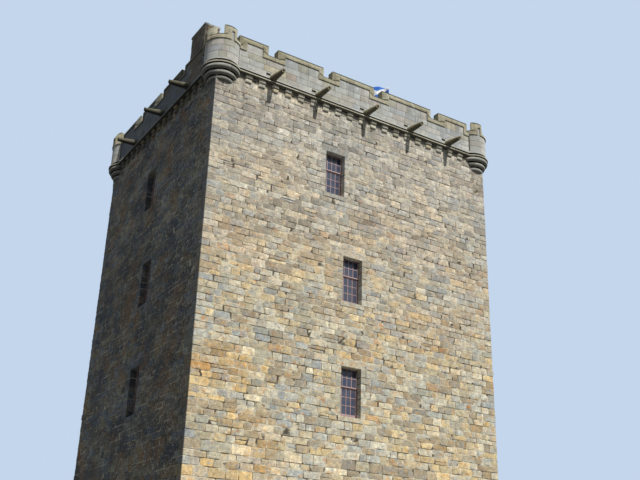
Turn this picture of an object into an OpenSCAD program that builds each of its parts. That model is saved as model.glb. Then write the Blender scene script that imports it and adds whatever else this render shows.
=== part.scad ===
/* [Tower] */
// Width of the tower along its front
tower_w = 13700; // [12500:100:16000]
// Depth of the tower from front to back
tower_d = 11000; // [10000:100:13000]
// Height of the wall head, where the string course starts
wall_head = 20000; // [19600:50:21500]
// Wall thickness at the ground storey
wall_t = 2400; // [2200:50:2600]
// How much thinner the wall gets at each floor, as a ledge for it
ledge = 100; // [60:10:140]

/* [Floors] */
// Top of the first floor
first_floor_z = 6290; // [5600:10:6500]
// Top of the second floor
second_floor_z = 10720; // [10100:10:10900]
// Top of the third floor
third_floor_z = 15150; // [14600:10:15300]
// Thickness of each upper floor
floor_t = 300; // [220:10:360]
// Thickness of the paving inside at ground level
paving_t = 150; // [100:10:200]

/* [Windows] */
// Width of a window opening
window_w = 920; // [800:10:1000]
// Height of a window opening
window_h = 1900; // [1700:10:2000]
// Height of a window sill over its floor
sill_up = 850; // [750:10:950]
// Depth of the outer reveal, from the wall face to the frame
reveal = 260; // [200:10:320]
// Width of an opening at the inner face of the wall
splay_w = 1500; // [1300:10:1700]
// Depth at which the inner splay of an opening starts
splay_start = 520; // [480:10:600]
// Width of the box frame round a window
frame_w = 60; // [50:5:80]
// Depth of the box frame of a window
frame_d = 120; // [110:5:140]
// Width of the rails and stiles of a sash
rail_w = 50; // [40:5:60]
// Thickness of one sash
sash_t = 40; // [30:5:45]
// Depth of the outer bead of the box frame in front of the sashes
bead = 15; // [10:1:20]
// Thickness of the glass
glass_t = 6; // [4:1:10]
// Width of a ground storey slit
slit_w = 160; // [120:10:200]
// Height of a ground storey slit
slit_h = 900; // [700:10:1100]
// Height of the sill of a slit
slit_z = 2200; // [1800:50:2500]

/* [Doorway] */
// Width of the doorway
door_w = 1300; // [1100:20:1500]
// Height of the doorway at the crown of its arch
door_h = 2500; // [2300:20:2800]
// Distance of the doorway from the middle of the back wall
door_off = 2600; // [2200:50:3000]
// Thickness of the plank door
door_t = 80; // [60:5:100]
// Depth of the check in the jambs that the door closes against
door_check = 60; // [50:5:80]

/* [String course] */
// How far the string course stands out from the wall
string_out = 210; // [190:5:230]
// Height of the whole string course
string_h = 290; // [270:5:310]
// Height of the top of its fillet
fillet_h = 65; // [55:5:75]
// Fall of the top of the fillet in degrees
fillet_fall = 8; // [4:1:10]
// Width of the slope under the outer edge of the fillet
drip_w = 45; // [30:5:60]
// Height of that slope
drip_h = 15; // [10:1:25]
// Depth of the hollow over the fillet, behind the parapet face
hollow_in = 75; // [60:5:85]
// Height of the lip over the hollow
lip_h = 200; // [190:5:215]
// Height of the upright edge of the lip
lip_edge = 30; // [20:5:40]
// How far the lip stands out from the parapet face
lip_out = 10; // [5:1:15]

/* [Corbels] */
// Width of one corbel
corbel_w = 280; // [220:10:320]
// Height of one corbel of two tiers
corbel_h = 330; // [280:10:380]
// How far the lower tier of a corbel stands out
corbel_low_out = 75; // [60:5:90]
// Share of a tier's projection that its rounded foot takes
corbel_nose = 0.6; // [0.4:0.05:0.8]
// Clear distance between the last corbel and the corbelling of a round
corbel_end = 80; // [60:10:120]
// How far the upper tier of a corbel stands out
corbel_out = 125; // [105:5:145]
// Distance between corbels
corbel_pitch = 606; // [540:2:680]

/* [Parapet] */
// How far the parapet face stands out from the wall
parapet_out = 120; // [90:5:150]
// Thickness of the parapet
parapet_t = 400; // [340:10:440]
// Height of the parapet face below the frame of a gap
sill_foot = 1060; // [960:10:1160]
// Height of the frame from its foot to its throat at the sill of a gap
sill_rise = 285; // [260:5:310]
// Height of the frame over the plain stones of a merlon
frame_rise = 320; // [270:10:370]
// Height of a merlon over the sill of a gap
merlon_up = 425; // [380:5:480]
// Width of a gap between two merlons at its throat
gap_w = 440; // [380:10:520]
// Width of the frame beside a gap
frame_side = 300; // [260:10:330]
// Depth of the splay of the frame
frame_in = 130; // [90:5:160]
// How far the frame stands out from the parapet face
frame_out = 50; // [35:5:65]
// Height of the upright edge of the frame
frame_edge = 80; // [60:5:100]

/* [Corner rounds] */
// Radius of a round
round_r = 700; // [660:10:740]
// How far the middle of a round lies inside both wall faces
round_in = 360; // [340:10:380]
// Thickness of the wall of a round
round_t = 280; // [240:10:320]
// Number of rolls in the corbelling below a round
rolls = 3; // [2:1:4]
// Height of one roll
roll_h = 210; // [190:5:230]
// How much smaller each roll is than the one above
roll_step = 125; // [110:5:135]
// How far the top roll stands out from the round
roll_out = 65; // [50:5:80]
// Half the angle of the gap that looks out along the diagonal
gap_turn = 20; // [16:1:24]
// Angle of a merlon on a round
merlon_turn = 61; // [58:1:63]
// Width of the frame beside a gap in a round
round_side = 320; // [300:5:330]
// How much higher the frame of a round lies than that of the parapet
round_up = 90; // [60:5:120]

/* [Spouts] */
// Length of a spout in front of the parapet
spout_l = 880; // [780:10:960]
// Radius of a spout at its root
spout_r = 150; // [130:5:160]
// Radius of a spout at its tip
spout_tip_r = 85; // [75:5:95]
// Radius of the bore of a spout
spout_bore_r = 45; // [35:5:55]
// Height of a spout over the wall head
spout_up = 225; // [210:5:240]
// Downward tilt of a spout in degrees
spout_tilt = 5; // [3:1:7]
// Distance from the middle of a spout to the drain slot beside it
slot_off = 210; // [205:5:250]
// Width of a drain slot
drain_w = 190; // [150:10:200]
// Height of a drain slot
drain_h = 80; // [60:5:100]
// Height of a drain slot over the string course
drain_up = 45; // [40:5:80]

/* [Chimney] */
// Distance from the end of the chimney stack to the middle of the spout that passes under it
stack_spout = 150; // [140:5:200]
// Length of the chimney stack along the left wall
stack_l = 1270; // [1100:10:1400]
// Thickness of the chimney stack
stack_w = 640; // [560:10:700]
// Height of the chimney top over the merlons
stack_up = 970; // [850:10:1100]
// Distance of the chimney stack from the front wall face
stack_in = 1230; // [1200:10:1300]
// Thickness of the walls of the stack
stack_t = 170; // [150:5:190]
// Depth of the flues below the chimney top
flue_h = 900; // [700:50:1100]
// Overhang of the cope slab on the stack
stack_lip = 30; // [20:5:40]
// Height of the cope slab on the stack
stack_cope = 95; // [75:5:120]

/* [Roof] */
// Distance from the wall face to the garret wall
walk_w = 1500; // [1450:10:1560]
// Height of the garret wall
garret_h = 900; // [800:10:1000]
// Thickness of the wall walk paving
walk_t = 180; // [150:5:200]
// Slope of the roof in degrees
roof_pitch = 38; // [34:1:40]
// Thickness of the roof
roof_t = 180; // [140:10:220]
// Overhang of the eaves
eaves = 150; // [110:10:180]
// Height of the gable heads over the roof
skew_up = 160; // [120:10:200]
// Width of the door from the garret to the walk
walk_door_w = 760; // [700:10:850]
// Height of that door
walk_door_h = 1750; // [1650:10:1850]
// Depth of that door behind the face of the gable
walk_reveal = 150; // [120:10:180]
// Height of its threshold over the walk
walk_door_up = 120; // [80:10:160]

/* [Flag] */
// Height of the flagstaff over the ridge of the roof
staff_up = 1870; // [1700:10:2200]
// Distance of the flagstaff from the right gable
staff_in = 850; // [600:50:1200]
// Distance from the top of the staff to the flag
staff_top = 100; // [60:10:140]
// Radius of the flagstaff
staff_r = 45; // [35:5:55]
// Length of the flag
flag_l = 1250; // [1100:10:1400]
// Height of the flag
flag_h = 760; // [650:10:850]
// Direction in which the flag flies, turned from the front in degrees
flag_turn = 35; // [0:5:60]
// Depth of the waves in the flag
flag_wave = 90; // [20:5:120]
// Thickness of the flag
flag_t = 12; // [8:1:20]

/* [Hidden] */
$fn = 64;
fine_fn = 180;
slack = 10;
hollow_step = 15;
stone_joint = 3;

half_w = tower_w / 2;
half_d = tower_d / 2;
string_z = wall_head;
parapet_z = wall_head + string_h;
frame_z = parapet_z + sill_foot - string_h;
sill_z = frame_z + sill_rise;
merlon_z = sill_z + merlon_up;
core_z = merlon_z - frame_rise;
parapet_in = parapet_t - parapet_out;
garret_t = wall_t - 4 * ledge - walk_w;
round_x = half_w - round_in;
round_y = half_d - round_in;
round_cut = round_in + parapet_out - parapet_t;
// Distance from the middle of a round to where it meets the parapet face, along the wall
round_join = sqrt(pow(round_r, 2) - pow(round_in + parapet_out, 2));
frame_r = round_r + frame_out;
stack_z = merlon_z + stack_up;
stack_off = half_d - stack_in - stack_l / 2;
staff_off = half_w - walk_w - garret_t - staff_in;
eaves_z = wall_head + garret_h;
roof_drop = roof_t / cos(roof_pitch);
ridge_z = eaves_z + roof_drop + (half_d - walk_w) * tan(roof_pitch);

FRONT = 0;
RIGHT = 90;
BACK = 180;
LEFT = 270;

// Gaps in the parapet: distances from the middle of each side, seen from outside
FRONT_GAPS = [-4420, -1745, 860, 4040];
SIDE_GAPS = [-2410, -50, 2200];
// Spouts on each side, in the same way
FRONT_SPOUTS = [-4420, -2260, 170, 2530, 4670];
SIDE_SPOUTS = [-2560, 570, stack_off - stack_l / 2 + stack_spout];
// Windows of each side from the third floor down
FRONT_WINDOWS = [-1245, -330, -330];
SIDE_WINDOWS = [-295, 300, 300];
FLOORS = [third_floor_z, second_floor_z, first_floor_z];

// A side is drawn as the front, with its wall face at y = 0 and the inside at +y
module on_side(side) {
    half = (side == FRONT || side == BACK) ? half_d : half_w;
    rotate([0, 0, side]) translate([0, -half, 0]) children();
}

// A corner is drawn with the outside at +x and +y and the middle of its round at 0
module on_corner(sx, sy) {
    translate([sx * round_x, sy * round_y, 0])
        mirror([sx < 0 ? 1 : 0, 0, 0])
            mirror([0, sy < 0 ? 1 : 0, 0])
                children();
}

module on_all_corners() {
    for (sx = [-1, 1], sy = [-1, 1])
        on_corner(sx, sy) children();
}

function side_half(side) = (side == FRONT || side == BACK) ? round_x : round_y;
function gaps(side) = (side == FRONT || side == BACK) ? FRONT_GAPS : SIDE_GAPS;
function spouts(side) = (side == FRONT || side == BACK) ? FRONT_SPOUTS : SIDE_SPOUTS;
function windows(side) = (side == FRONT || side == BACK) ? FRONT_WINDOWS : SIDE_WINDOWS;

// Walls

// One storey of the hollow inside, from the underside of its floor to the next
module storey_void(level, z0, z1) {
    t = wall_t - level * ledge;
    translate([-half_w + t, -half_d + t, z0])
        cube([tower_w - 2 * t, tower_d - 2 * t, z1 - z0]);
}

module inner_void() {
    storey_void(0, -slack, first_floor_z - floor_t);
    storey_void(1, first_floor_z - floor_t, second_floor_z - floor_t);
    storey_void(2, second_floor_z - floor_t, third_floor_z - floor_t);
    storey_void(3, third_floor_z - floor_t, wall_head - floor_t);
    storey_void(4, wall_head - floor_t, wall_head + slack);
}

// An opening through the wall with a straight reveal outside and a splay inside
module wall_opening(w, inner_w) {
    polygon([
        [-w / 2, -slack], [w / 2, -slack], [w / 2, splay_start],
        [inner_w / 2, wall_t + slack], [-inner_w / 2, wall_t + slack], [-w / 2, splay_start]
    ]);
}

module window_openings(side) {
    for (i = [0:len(FLOORS) - 1])
        translate([windows(side)[i], 0, FLOORS[i] + sill_up])
            linear_extrude(window_h) wall_opening(window_w, splay_w);
    translate([windows(side)[2], 0, slit_z])
        linear_extrude(slit_h) wall_opening(slit_w, splay_w / 2);
}

// Outline of the doorway with its round head, on a threshold level with the paving inside
module door_outline(grow) {
    spring = door_h - door_w / 2;
    w = door_w + 2 * grow;
    translate([-w / 2, paving_t]) square([w, spring - paving_t]);
    translate([0, spring]) circle(d = w);
}

// The doorway between two depths behind the wall face
module doorway(grow, near, far) {
    translate([-door_off, far, 0]) rotate([90, 0, 0]) linear_extrude(far - near) door_outline(grow);
}

module long_wall(side) {
    t = wall_t;
    difference() {
        on_side(side) translate([-half_w, 0, 0]) cube([tower_w, t, wall_head]);
        inner_void();
        on_side(side) window_openings(side);
        if (side == BACK)
            on_side(side) {
                doorway(0, -slack, reveal + slack);
                doorway(door_check, reveal, wall_t + slack);
            }
    }
}

module short_wall(side) {
    difference() {
        on_side(side) translate([-half_d + wall_t, 0, 0]) cube([tower_d - 2 * wall_t, wall_t, wall_head]);
        inner_void();
        on_side(side) window_openings(side);
    }
}

module front_wall() { color("tan") long_wall(FRONT); }
module back_wall() { color("tan") long_wall(BACK); }
module left_wall() { color("burlywood") short_wall(LEFT); }
module right_wall() { color("burlywood") short_wall(RIGHT); }

// Floors

// A floor fills its storey from wall to wall and rests on the ledge of the wall below
module floor_slab(level, top, thick) {
    t = wall_t - level * ledge;
    translate([-half_w + t, -half_d + t, top - thick])
        cube([tower_w - 2 * t, tower_d - 2 * t, thick]);
}

module ground_floor() { color("gray") floor_slab(0, paving_t, paving_t); }
module first_floor() { color("peru") floor_slab(1, first_floor_z, floor_t); }
module second_floor() { color("peru") floor_slab(2, second_floor_z, floor_t); }
module third_floor() { color("peru") floor_slab(3, third_floor_z, floor_t); }
module garret_floor() { color("peru") floor_slab(4, wall_head, floor_t); }

// Corbels

// Side view of a corbel: two tiers, each with a rounded foot, outside at -y
module corbel_profile() {
    tier = corbel_h / 2;
    for (i = [0, 1]) {
        out = i == 0 ? corbel_out : corbel_low_out;
        low = -tier * (i + 1);
        nose = out * corbel_nose;
        translate([-out, low + nose]) square([out, tier - nose]);
        translate([-out + nose, low]) square([out - nose, nose]);
        intersection() {
            translate([-out + nose, low + nose]) circle(nose);
            translate([-out, low]) square([nose, nose]);
        }
    }
}

module corbels(side) {
    reach = side_half(side) - sqrt(pow(round_r + corbel_end, 2) - pow(round_in, 2)) - corbel_w / 2;
    count = floor(reach / corbel_pitch);
    on_side(side)
        for (i = [-count:count])
            translate([i * corbel_pitch - corbel_w / 2, 0, wall_head])
                rotate([90, 0, 90]) linear_extrude(corbel_w) corbel_profile();
}

module front_corbels() { color("wheat") corbels(FRONT); }
module back_corbels() { color("wheat") corbels(BACK); }
module left_corbels() { color("wheat") corbels(LEFT); }
module right_corbels() { color("wheat") corbels(RIGHT); }

// String course

// Moulding of the string course: x is the distance outward from the wall face.
// A fillet below, a quarter-round hollow over it, and a lip that carries the parapet
function string_outline(inner) =
    let (lip_x = parapet_out + lip_out, r = lip_out + hollow_in, back = parapet_out - hollow_in)
    concat(
        [[inner, 0], [string_out - drip_w, 0], [string_out, drip_h], [string_out, fillet_h],
            [back, fillet_h + (string_out - back) * tan(fillet_fall)]],
        [for (a = [0:hollow_step:90]) [lip_x - r * cos(a), lip_h - r + r * sin(a)]],
        [[lip_x, lip_h + lip_edge], [parapet_out, lip_h + lip_edge + lip_out]],
        [[parapet_out, string_h], [inner, string_h]]
    );

module string_bar(side) {
    reach = side_half(side);
    on_side(side) translate([-reach, 0, 0]) rotate([90, 0, 90])
        linear_extrude(2 * reach) mirror([1, 0, 0]) polygon(string_outline(-parapet_in));
}

module string_ring() {
    shift = round_r - parapet_out;
    rotate_extrude() polygon([for (p = string_outline(parapet_out - round_t)) [p[0] + shift, p[1]]]);
}

// The inner corner of the walk, cut out of whatever turns round a corner
module walk_corner(height) {
    far = -3 * round_r;
    translate([far, far, -slack]) cube([round_cut - far, round_cut - far, height + 2 * slack]);
}

// The hollow inside a round, down to the walk
module round_hollow(height) {
    translate([0, 0, -slack]) cylinder(r = round_r - round_t, h = height + 2 * slack, $fn = fine_fn);
}

module string_course() {
    color("darkkhaki") difference() {
        translate([0, 0, string_z]) union() {
            for (side = [FRONT, RIGHT, BACK, LEFT]) string_bar(side);
            on_all_corners() string_ring();
        }
        translate([0, 0, string_z]) on_all_corners() walk_corner(string_h);
        translate([0, 0, string_z]) on_all_corners() round_hollow(string_h);
        for (side = [FRONT, RIGHT, BACK, LEFT]) spout_seats(side);
    }
}

// Parapet

// A straight run of parapet, its ends cut round for the corner rounds
module parapet_run(side) {
    reach = side_half(side);
    on_side(side) difference() {
        translate([-reach, -parapet_out, parapet_z]) cube([2 * reach, parapet_t, frame_z - parapet_z]);
        for (s = [-1, 1])
            translate([s * reach, round_in, parapet_z - slack])
                cylinder(r = round_r, h = frame_z - parapet_z + 2 * slack, $fn = fine_fn);
    }
}

// Merlons of one side as [start, end] along the wall
function merlons(side) =
    let (g = gaps(side), n = len(g), r = side_half(side))
    [for (i = [0:n]) [i == 0 ? -r : g[i - 1] + gap_w / 2, i == n ? r : g[i] - gap_w / 2]];

// The plain stones of the merlons, between the uprights of the frame, out to a plane in front of the wall
module merlon_cores(side, out) {
    end = side_half(side) - round_join;
    on_side(side)
        for (m = merlons(side)) {
            a = max(m[0], -end) + frame_side;
            b = min(m[1], end) - frame_side;
            translate([a, -out, frame_z]) cube([b - a, out + parapet_in, core_z - frame_z]);
        }
}

module parapet(side) {
    difference() {
        union() {
            parapet_run(side);
            merlon_cores(side, parapet_out);
        }
        spout_seats(side);
        drain_slots(side);
        if (side == LEFT) stack_block(parapet_z - slack, stack_z);
    }
}

module front_parapet() { color("lightgray") parapet(FRONT); }
module back_parapet() { color("lightgray") parapet(BACK); }
module left_parapet() { color("lightgray") parapet(LEFT); }
module right_parapet() { color("lightgray") parapet(RIGHT); }

// Cope: the moulded frame that follows every merlon and gap

// A flared gap of width w through the frame: narrow at its throat and wide at the face
module flared_gap(w) {
    face = -parapet_out - frame_out;
    throat = face + frame_in;
    back = parapet_in + slack;
    flare = w / 2 + frame_side - frame_edge;
    top = merlon_z + frame_rise;
    intersection() {
        translate([0, 0, frame_z]) linear_extrude(top - frame_z)
            polygon([
                [-flare, face - slack], [flare, face - slack], [flare, face], [w / 2, throat], [w / 2, back],
                [-w / 2, back], [-w / 2, throat], [-flare, face]
            ]);
        translate([-w - frame_side, 0, 0]) rotate([90, 0, 90]) linear_extrude(2 * (w + frame_side))
            polygon([
                [face - slack, frame_z + frame_edge], [face, frame_z + frame_edge], [throat, sill_z],
                [back, sill_z], [back, top], [face - slack, top]
            ]);
    }
}

// The splay at the end of the last merlon, beside a round. The end is at 0 and the round lies at -x
module end_flare() {
    face = -parapet_out - frame_out;
    outer = [frame_side - frame_edge, face];
    throat = [0, face + frame_in];
    top = merlon_z + frame_rise;
    intersection() {
        translate([0, 0, frame_z]) linear_extrude(top - frame_z)
            polygon([
                beyond(throat, outer), beyond(outer, throat),
                [-frame_side, beyond(outer, throat)[1]], [-frame_side, beyond(throat, outer)[1]]
            ]);
        translate([-2 * frame_side, 0, 0]) rotate([90, 0, 90]) linear_extrude(4 * frame_side)
            polygon([
                [face - frame_in - slack, frame_z + frame_edge], [face, frame_z + frame_edge],
                [face + frame_in, sill_z], [face + 2 * frame_in + slack, sill_z],
                [face + 2 * frame_in + slack, top], [face - frame_in - slack, top]
            ]);
    }
}

// The slope cut along the top of the merlons of one side
module top_splay(side) {
    face = -parapet_out - frame_out;
    reach = side_half(side);
    on_side(side) translate([-reach, 0, 0]) rotate([90, 0, 90]) linear_extrude(2 * reach)
        polygon([
            [face - slack, core_z + frame_edge], [face, core_z + frame_edge],
            [face + frame_in, merlon_z], [face + frame_in, merlon_z + slack], [face - slack, merlon_z + slack]
        ]);
}

module cope(side) {
    end = side_half(side) - round_join;
    difference() {
        on_side(side) translate([-end, -parapet_out - frame_out, frame_z])
            cube([2 * end, parapet_t + frame_out, merlon_z - frame_z]);
        merlon_cores(side, parapet_out + frame_out + slack);
        on_side(side) {
            for (g = gaps(side)) translate([g, 0, 0]) flared_gap(gap_w);
            for (s = [0, 1]) mirror([s, 0, 0]) translate([-end, 0, 0]) end_flare();
        }
        top_splay(side);
        if (side == LEFT) stack_block(parapet_z, stack_z);
    }
}

module front_cope() { color("darkkhaki") cope(FRONT); }
module back_cope() { color("darkkhaki") cope(BACK); }
module left_cope() { color("darkkhaki") cope(LEFT); }
module right_cope() { color("darkkhaki") cope(RIGHT); }

// Corner rounds

// One roll: a disc with a rounded edge
module roll(r) {
    rotate_extrude() union() {
        square([r - roll_h / 2, roll_h]);
        translate([r - roll_h / 2, roll_h / 2]) circle(d = roll_h);
    }
}

module rolls_of_corner() {
    difference() {
        for (i = [0:rolls - 1])
            translate([0, 0, wall_head - (i + 1) * roll_h]) roll(round_r + roll_out - i * roll_step);
        translate([-2 * round_r, -2 * round_r, wall_head - (rolls + 1) * roll_h])
            cube([2 * round_r + round_in, 2 * round_r + round_in, (rolls + 2) * roll_h]);
    }
}

module round_corbelling() { color("gray") on_all_corners() rolls_of_corner(); }

// A wedge of the given half angle about the direction turn, seen from the middle of a round
module wedge(turn, half_angle, z0, z1) {
    far = 2 * round_r;
    rotate([0, 0, turn]) translate([0, 0, z0]) linear_extrude(z1 - z0)
        polygon([[0, 0], [far, -far * tan(half_angle)], [far, far * tan(half_angle)]]);
}

// The two wedges that hold the plain stones of the merlons of a round
module core_wedges(z0, z1) {
    half_angle = merlon_turn / 2 - asin(round_side / frame_r);
    for (s = [-1, 1]) wedge(45 + s * (gap_turn + merlon_turn / 2), half_angle, z0, z1);
}

// What lies past the two ends of a round, where the straight frames begin
module past_ends(z0, z1) {
    far = 3 * round_r;
    for (s = [0, 1]) mirror([s, -s, 0])
        translate([-far, -far, z0]) cube([far - round_join, 2 * far, z1 - z0]);
}

module round_wall(sx, sy) {
    foot = frame_z + round_up;
    top = core_z + round_up;
    on_corner(sx, sy) difference() {
        translate([0, 0, parapet_z]) cylinder(r = round_r, h = top - parapet_z, $fn = fine_fn);
        translate([0, 0, parapet_z]) round_hollow(top - parapet_z);
        translate([0, 0, parapet_z]) walk_corner(top - parapet_z);
        past_ends(frame_z, top + slack);
        difference() {
            translate([-2 * round_r, -2 * round_r, foot])
                cube([4 * round_r, 4 * round_r, top - foot + slack]);
            core_wedges(foot - slack, top + 2 * slack);
        }
    }
}

module near_left_round() { color("silver") round_wall(-1, -1); }
module near_right_round() { color("silver") round_wall(1, -1); }
module far_left_round() { color("silver") round_wall(-1, 1); }
module far_right_round() { color("silver") round_wall(1, 1); }

function polar(r, a) = [r * cos(a), r * sin(a)];

// The end of the line from p to q, carried on as far again
function beyond(p, q) = 2 * q - p;

// Plan of the gap that looks out along the diagonal, flared towards the face
module diagonal_gap() {
    throat = frame_r - frame_in - slack;
    flare = gap_turn + asin((round_side - frame_edge) / frame_r);
    rotate(45) polygon([
        [0, 0],
        polar(throat, -gap_turn),
        beyond(polar(throat, -gap_turn), polar(frame_r, -flare)),
        polar(2 * frame_r, -flare),
        polar(2 * frame_r, flare),
        beyond(polar(throat, gap_turn), polar(frame_r, flare)),
        polar(throat, gap_turn)
    ]);
}

// Plan of the slit between a merlon of the round and the parapet
module side_gap() {
    turn = 45 + gap_turn + merlon_turn;
    throat = frame_r - frame_in - slack;
    flare = turn - asin((round_side - frame_edge) / frame_r);
    polygon([
        [0, 0],
        polar(throat, turn),
        beyond(polar(throat, turn), polar(frame_r, flare)),
        polar(2 * frame_r, flare),
        [-round_join - slack, 2 * frame_r],
        [-round_join - slack, 0]
    ]);
}

// The three gaps in the frame of a round, down to its sloping sill
module round_gaps() {
    intersection() {
        translate([0, 0, frame_z]) linear_extrude(merlon_z + slack - frame_z) {
            diagonal_gap();
            side_gap();
            mirror([1, -1]) side_gap();
        }
        rotate_extrude() polygon([
            [0, sill_z],
            [frame_r - frame_in, sill_z],
            beyond([frame_r - frame_in, sill_z], [frame_r, frame_z + frame_edge]),
            [2 * frame_r, frame_z + frame_edge],
            [2 * frame_r, merlon_z + slack],
            [0, merlon_z + slack]
        ]);
    }
}

module round_cope() {
    inner = round_r - round_t;
    translate([0, 0, round_up]) difference() {
        rotate_extrude() polygon([
            [inner, frame_z], [frame_r, frame_z], [frame_r, core_z + frame_edge],
            [frame_r - frame_in, merlon_z], [inner, merlon_z]
        ]);
        translate([0, 0, frame_z]) walk_corner(merlon_z - frame_z);
        intersection() {
            translate([0, 0, frame_z]) cylinder(r = frame_r + slack, h = core_z - frame_z, $fn = fine_fn);
            core_wedges(frame_z, core_z);
        }
        past_ends(frame_z - slack, merlon_z + slack);
        round_gaps();
    }
}

module round_copes() { color("darkkhaki") on_all_corners() round_cope(); }

// Spouts

// A spout is drawn with its root at 0 and its tip at -y
module spout_body(grow) {
    rotate([90 + spout_tilt, 0, 0]) {
        cylinder(r1 = spout_r + grow, r2 = spout_tip_r + grow, h = spout_l);
        translate([0, 0, -parapet_out]) cylinder(r = spout_r + grow, h = parapet_out);
    }
}

module spout_bore() {
    rotate([90 + spout_tilt, 0, 0]) translate([0, 0, -stack_w - 2 * slack])
        cylinder(r = spout_bore_r, h = stack_w + spout_l + 4 * slack);
}

module at_spouts(side) {
    on_side(side)
        for (u = spouts(side))
            translate([u, -parapet_out, wall_head + spout_up]) children();
}

module spout_set(side) {
    at_spouts(side) difference() {
        spout_body(0);
        spout_bore();
    }
}

module spout_seats(side) {
    at_spouts(side) spout_body(stone_joint);
    at_spouts(side) spout_bore();
}

// Small slots beside the spouts that let the walk drain when a bore is blocked
module drain_slots(side) {
    on_side(side)
        for (u = spouts(side))
            translate([u - slot_off - drain_w / 2, -parapet_out - slack, parapet_z + drain_up])
                cube([drain_w, parapet_t + 2 * slack, drain_h]);
}

module front_spouts() { color("olive") spout_set(FRONT); }
module back_spouts() { color("olive") spout_set(BACK); }
module left_spouts() { color("olive") spout_set(LEFT); }
module right_spouts() { color("olive") spout_set(RIGHT); }

// Chimney

// The outside of the stack between two heights
module stack_block(z0, z1) {
    on_side(LEFT) translate([stack_off - stack_l / 2, -parapet_out, z0])
        cube([stack_l, stack_w, z1 - z0]);
}

module chimney_stack() {
    flue = stack_w - 2 * stack_t;
    color("rosybrown") difference() {
        union() {
            stack_block(parapet_z, stack_z - stack_cope);
            difference() {
                stack_block(wall_head, parapet_z);
                on_side(LEFT) translate([stack_off - stack_l, -string_out, wall_head - slack])
                    cube([2 * stack_l, string_out + parapet_in, parapet_z - wall_head + 2 * slack]);
            }
            on_side(LEFT)
                translate([stack_off - stack_l / 2 - stack_lip, -parapet_out - stack_lip, stack_z - stack_cope])
                    cube([stack_l + 2 * stack_lip, stack_w + 2 * stack_lip, stack_cope]);
        }
        spout_seats(LEFT);
        on_side(LEFT) for (s = [-1, 1])
            translate([stack_off + s * stack_l / 4 - flue / 2, -parapet_out + stack_t, stack_z - flue_h])
                cube([flue, flue, flue_h + slack]);
    }
}

// Walk, garret and roof

module garret_box(grow, z0, z1) {
    inset = walk_w - grow;
    translate([-half_w + inset, -half_d + inset, z0])
        cube([tower_w - 2 * inset, tower_d - 2 * inset, z1 - z0]);
}

module wall_walk() {
    color("gray") difference() {
        union() {
            translate([-half_w + parapet_in, -half_d + parapet_in, wall_head])
                cube([tower_w - 2 * parapet_in, tower_d - 2 * parapet_in, walk_t]);
            translate([0, 0, wall_head]) on_all_corners()
                cylinder(r = round_r - round_t, h = walk_t, $fn = fine_fn);
        }
        garret_box(0, wall_head - slack, wall_head + walk_t + slack);
        stack_block(wall_head - slack, wall_head + walk_t + slack);
    }
}

// The low walls under the eaves, between the two gables
module garret_walls() {
    inner = half_d - walk_w - garret_t;
    color("tan") for (s = [-1, 1])
        translate([-half_w + walk_w + garret_t, s > 0 ? inner : -half_d + walk_w, wall_head])
            cube([tower_w - 2 * walk_w - 2 * garret_t, garret_t, garret_h]);
}

// A gable wall with the cope that follows its slopes
module gable(s) {
    outer = s * (half_w - walk_w);
    reach = half_d - walk_w;
    head = eaves_z + roof_drop + skew_up / cos(roof_pitch);
    translate([s > 0 ? outer - garret_t : outer, 0, 0]) rotate([90, 0, 90])
        linear_extrude(garret_t)
            polygon([
                [-reach, wall_head], [reach, wall_head],
                [reach, head], [0, head + reach * tan(roof_pitch)], [-reach, head]
            ]);
}

// The doorway through the right gable between two depths behind its outer face
module walk_doorway(grow, near, far) {
    outer = half_w - walk_w;
    z = wall_head + walk_t + walk_door_up;
    translate([outer - far, -walk_door_w / 2 - grow, z])
        cube([far - near, walk_door_w + 2 * grow, walk_door_h + grow]);
}

module left_gable() { color("tan") gable(-1); }

module right_gable() {
    color("tan") difference() {
        gable(1);
        walk_doorway(0, -slack, garret_t + slack);
        walk_doorway(door_check, walk_reveal, garret_t + slack);
    }
}

module walk_door() {
    color("saddlebrown") walk_doorway(door_check - stone_joint, walk_reveal, walk_reveal + door_t);
}

// The roof slab over the garret: it drops below the wall heads at the eaves
module roof() {
    length = tower_w - 2 * walk_w - 2 * garret_t;
    reach = half_d - walk_w + eaves;
    foot_z = eaves_z - eaves * tan(roof_pitch);
    color("slategray") difference() {
        translate([-length / 2, 0, 0]) rotate([90, 0, 90]) linear_extrude(length)
            polygon([
                [-reach, foot_z], [0, ridge_z - roof_drop], [reach, foot_z],
                [reach, foot_z + roof_drop], [0, ridge_z], [-reach, foot_z + roof_drop]
            ]);
        staff(stone_joint);
    }
}

// Windows

// A box frame with two sashes, the upper one outside, drawn with the wall face at y = 0
module window_unit() {
    w = window_w;
    h = window_h;
    sash_w = w - 2 * frame_w;
    sash_h = (h - 2 * frame_w + rail_w) / 2;
    difference() {
        translate([-w / 2, reveal, 0]) cube([w, frame_d, h]);
        translate([-sash_w / 2, reveal - slack, frame_w]) cube([sash_w, frame_d + 2 * slack, h - 2 * frame_w]);
    }
    sash(sash_w, sash_h, reveal + bead, h - frame_w - sash_h);
    sash(sash_w, sash_h, reveal + bead + sash_t, frame_w);
}

module sash(w, h, y, z) {
    translate([-w / 2, y, z]) difference() {
        cube([w, sash_t, h]);
        translate([rail_w, -slack, rail_w]) cube([w - 2 * rail_w, sash_t + 2 * slack, h - 2 * rail_w]);
    }
}

module pane(w, h, y, z) {
    translate([-w / 2 + rail_w, y + (sash_t - glass_t) / 2, z + rail_w])
        cube([w - 2 * rail_w, glass_t, h - 2 * rail_w]);
}

module window_panes() {
    sash_w = window_w - 2 * frame_w;
    sash_h = (window_h - 2 * frame_w + rail_w) / 2;
    pane(sash_w, sash_h, reveal + bead, window_h - frame_w - sash_h);
    pane(sash_w, sash_h, reveal + bead + sash_t, frame_w);
}

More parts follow.
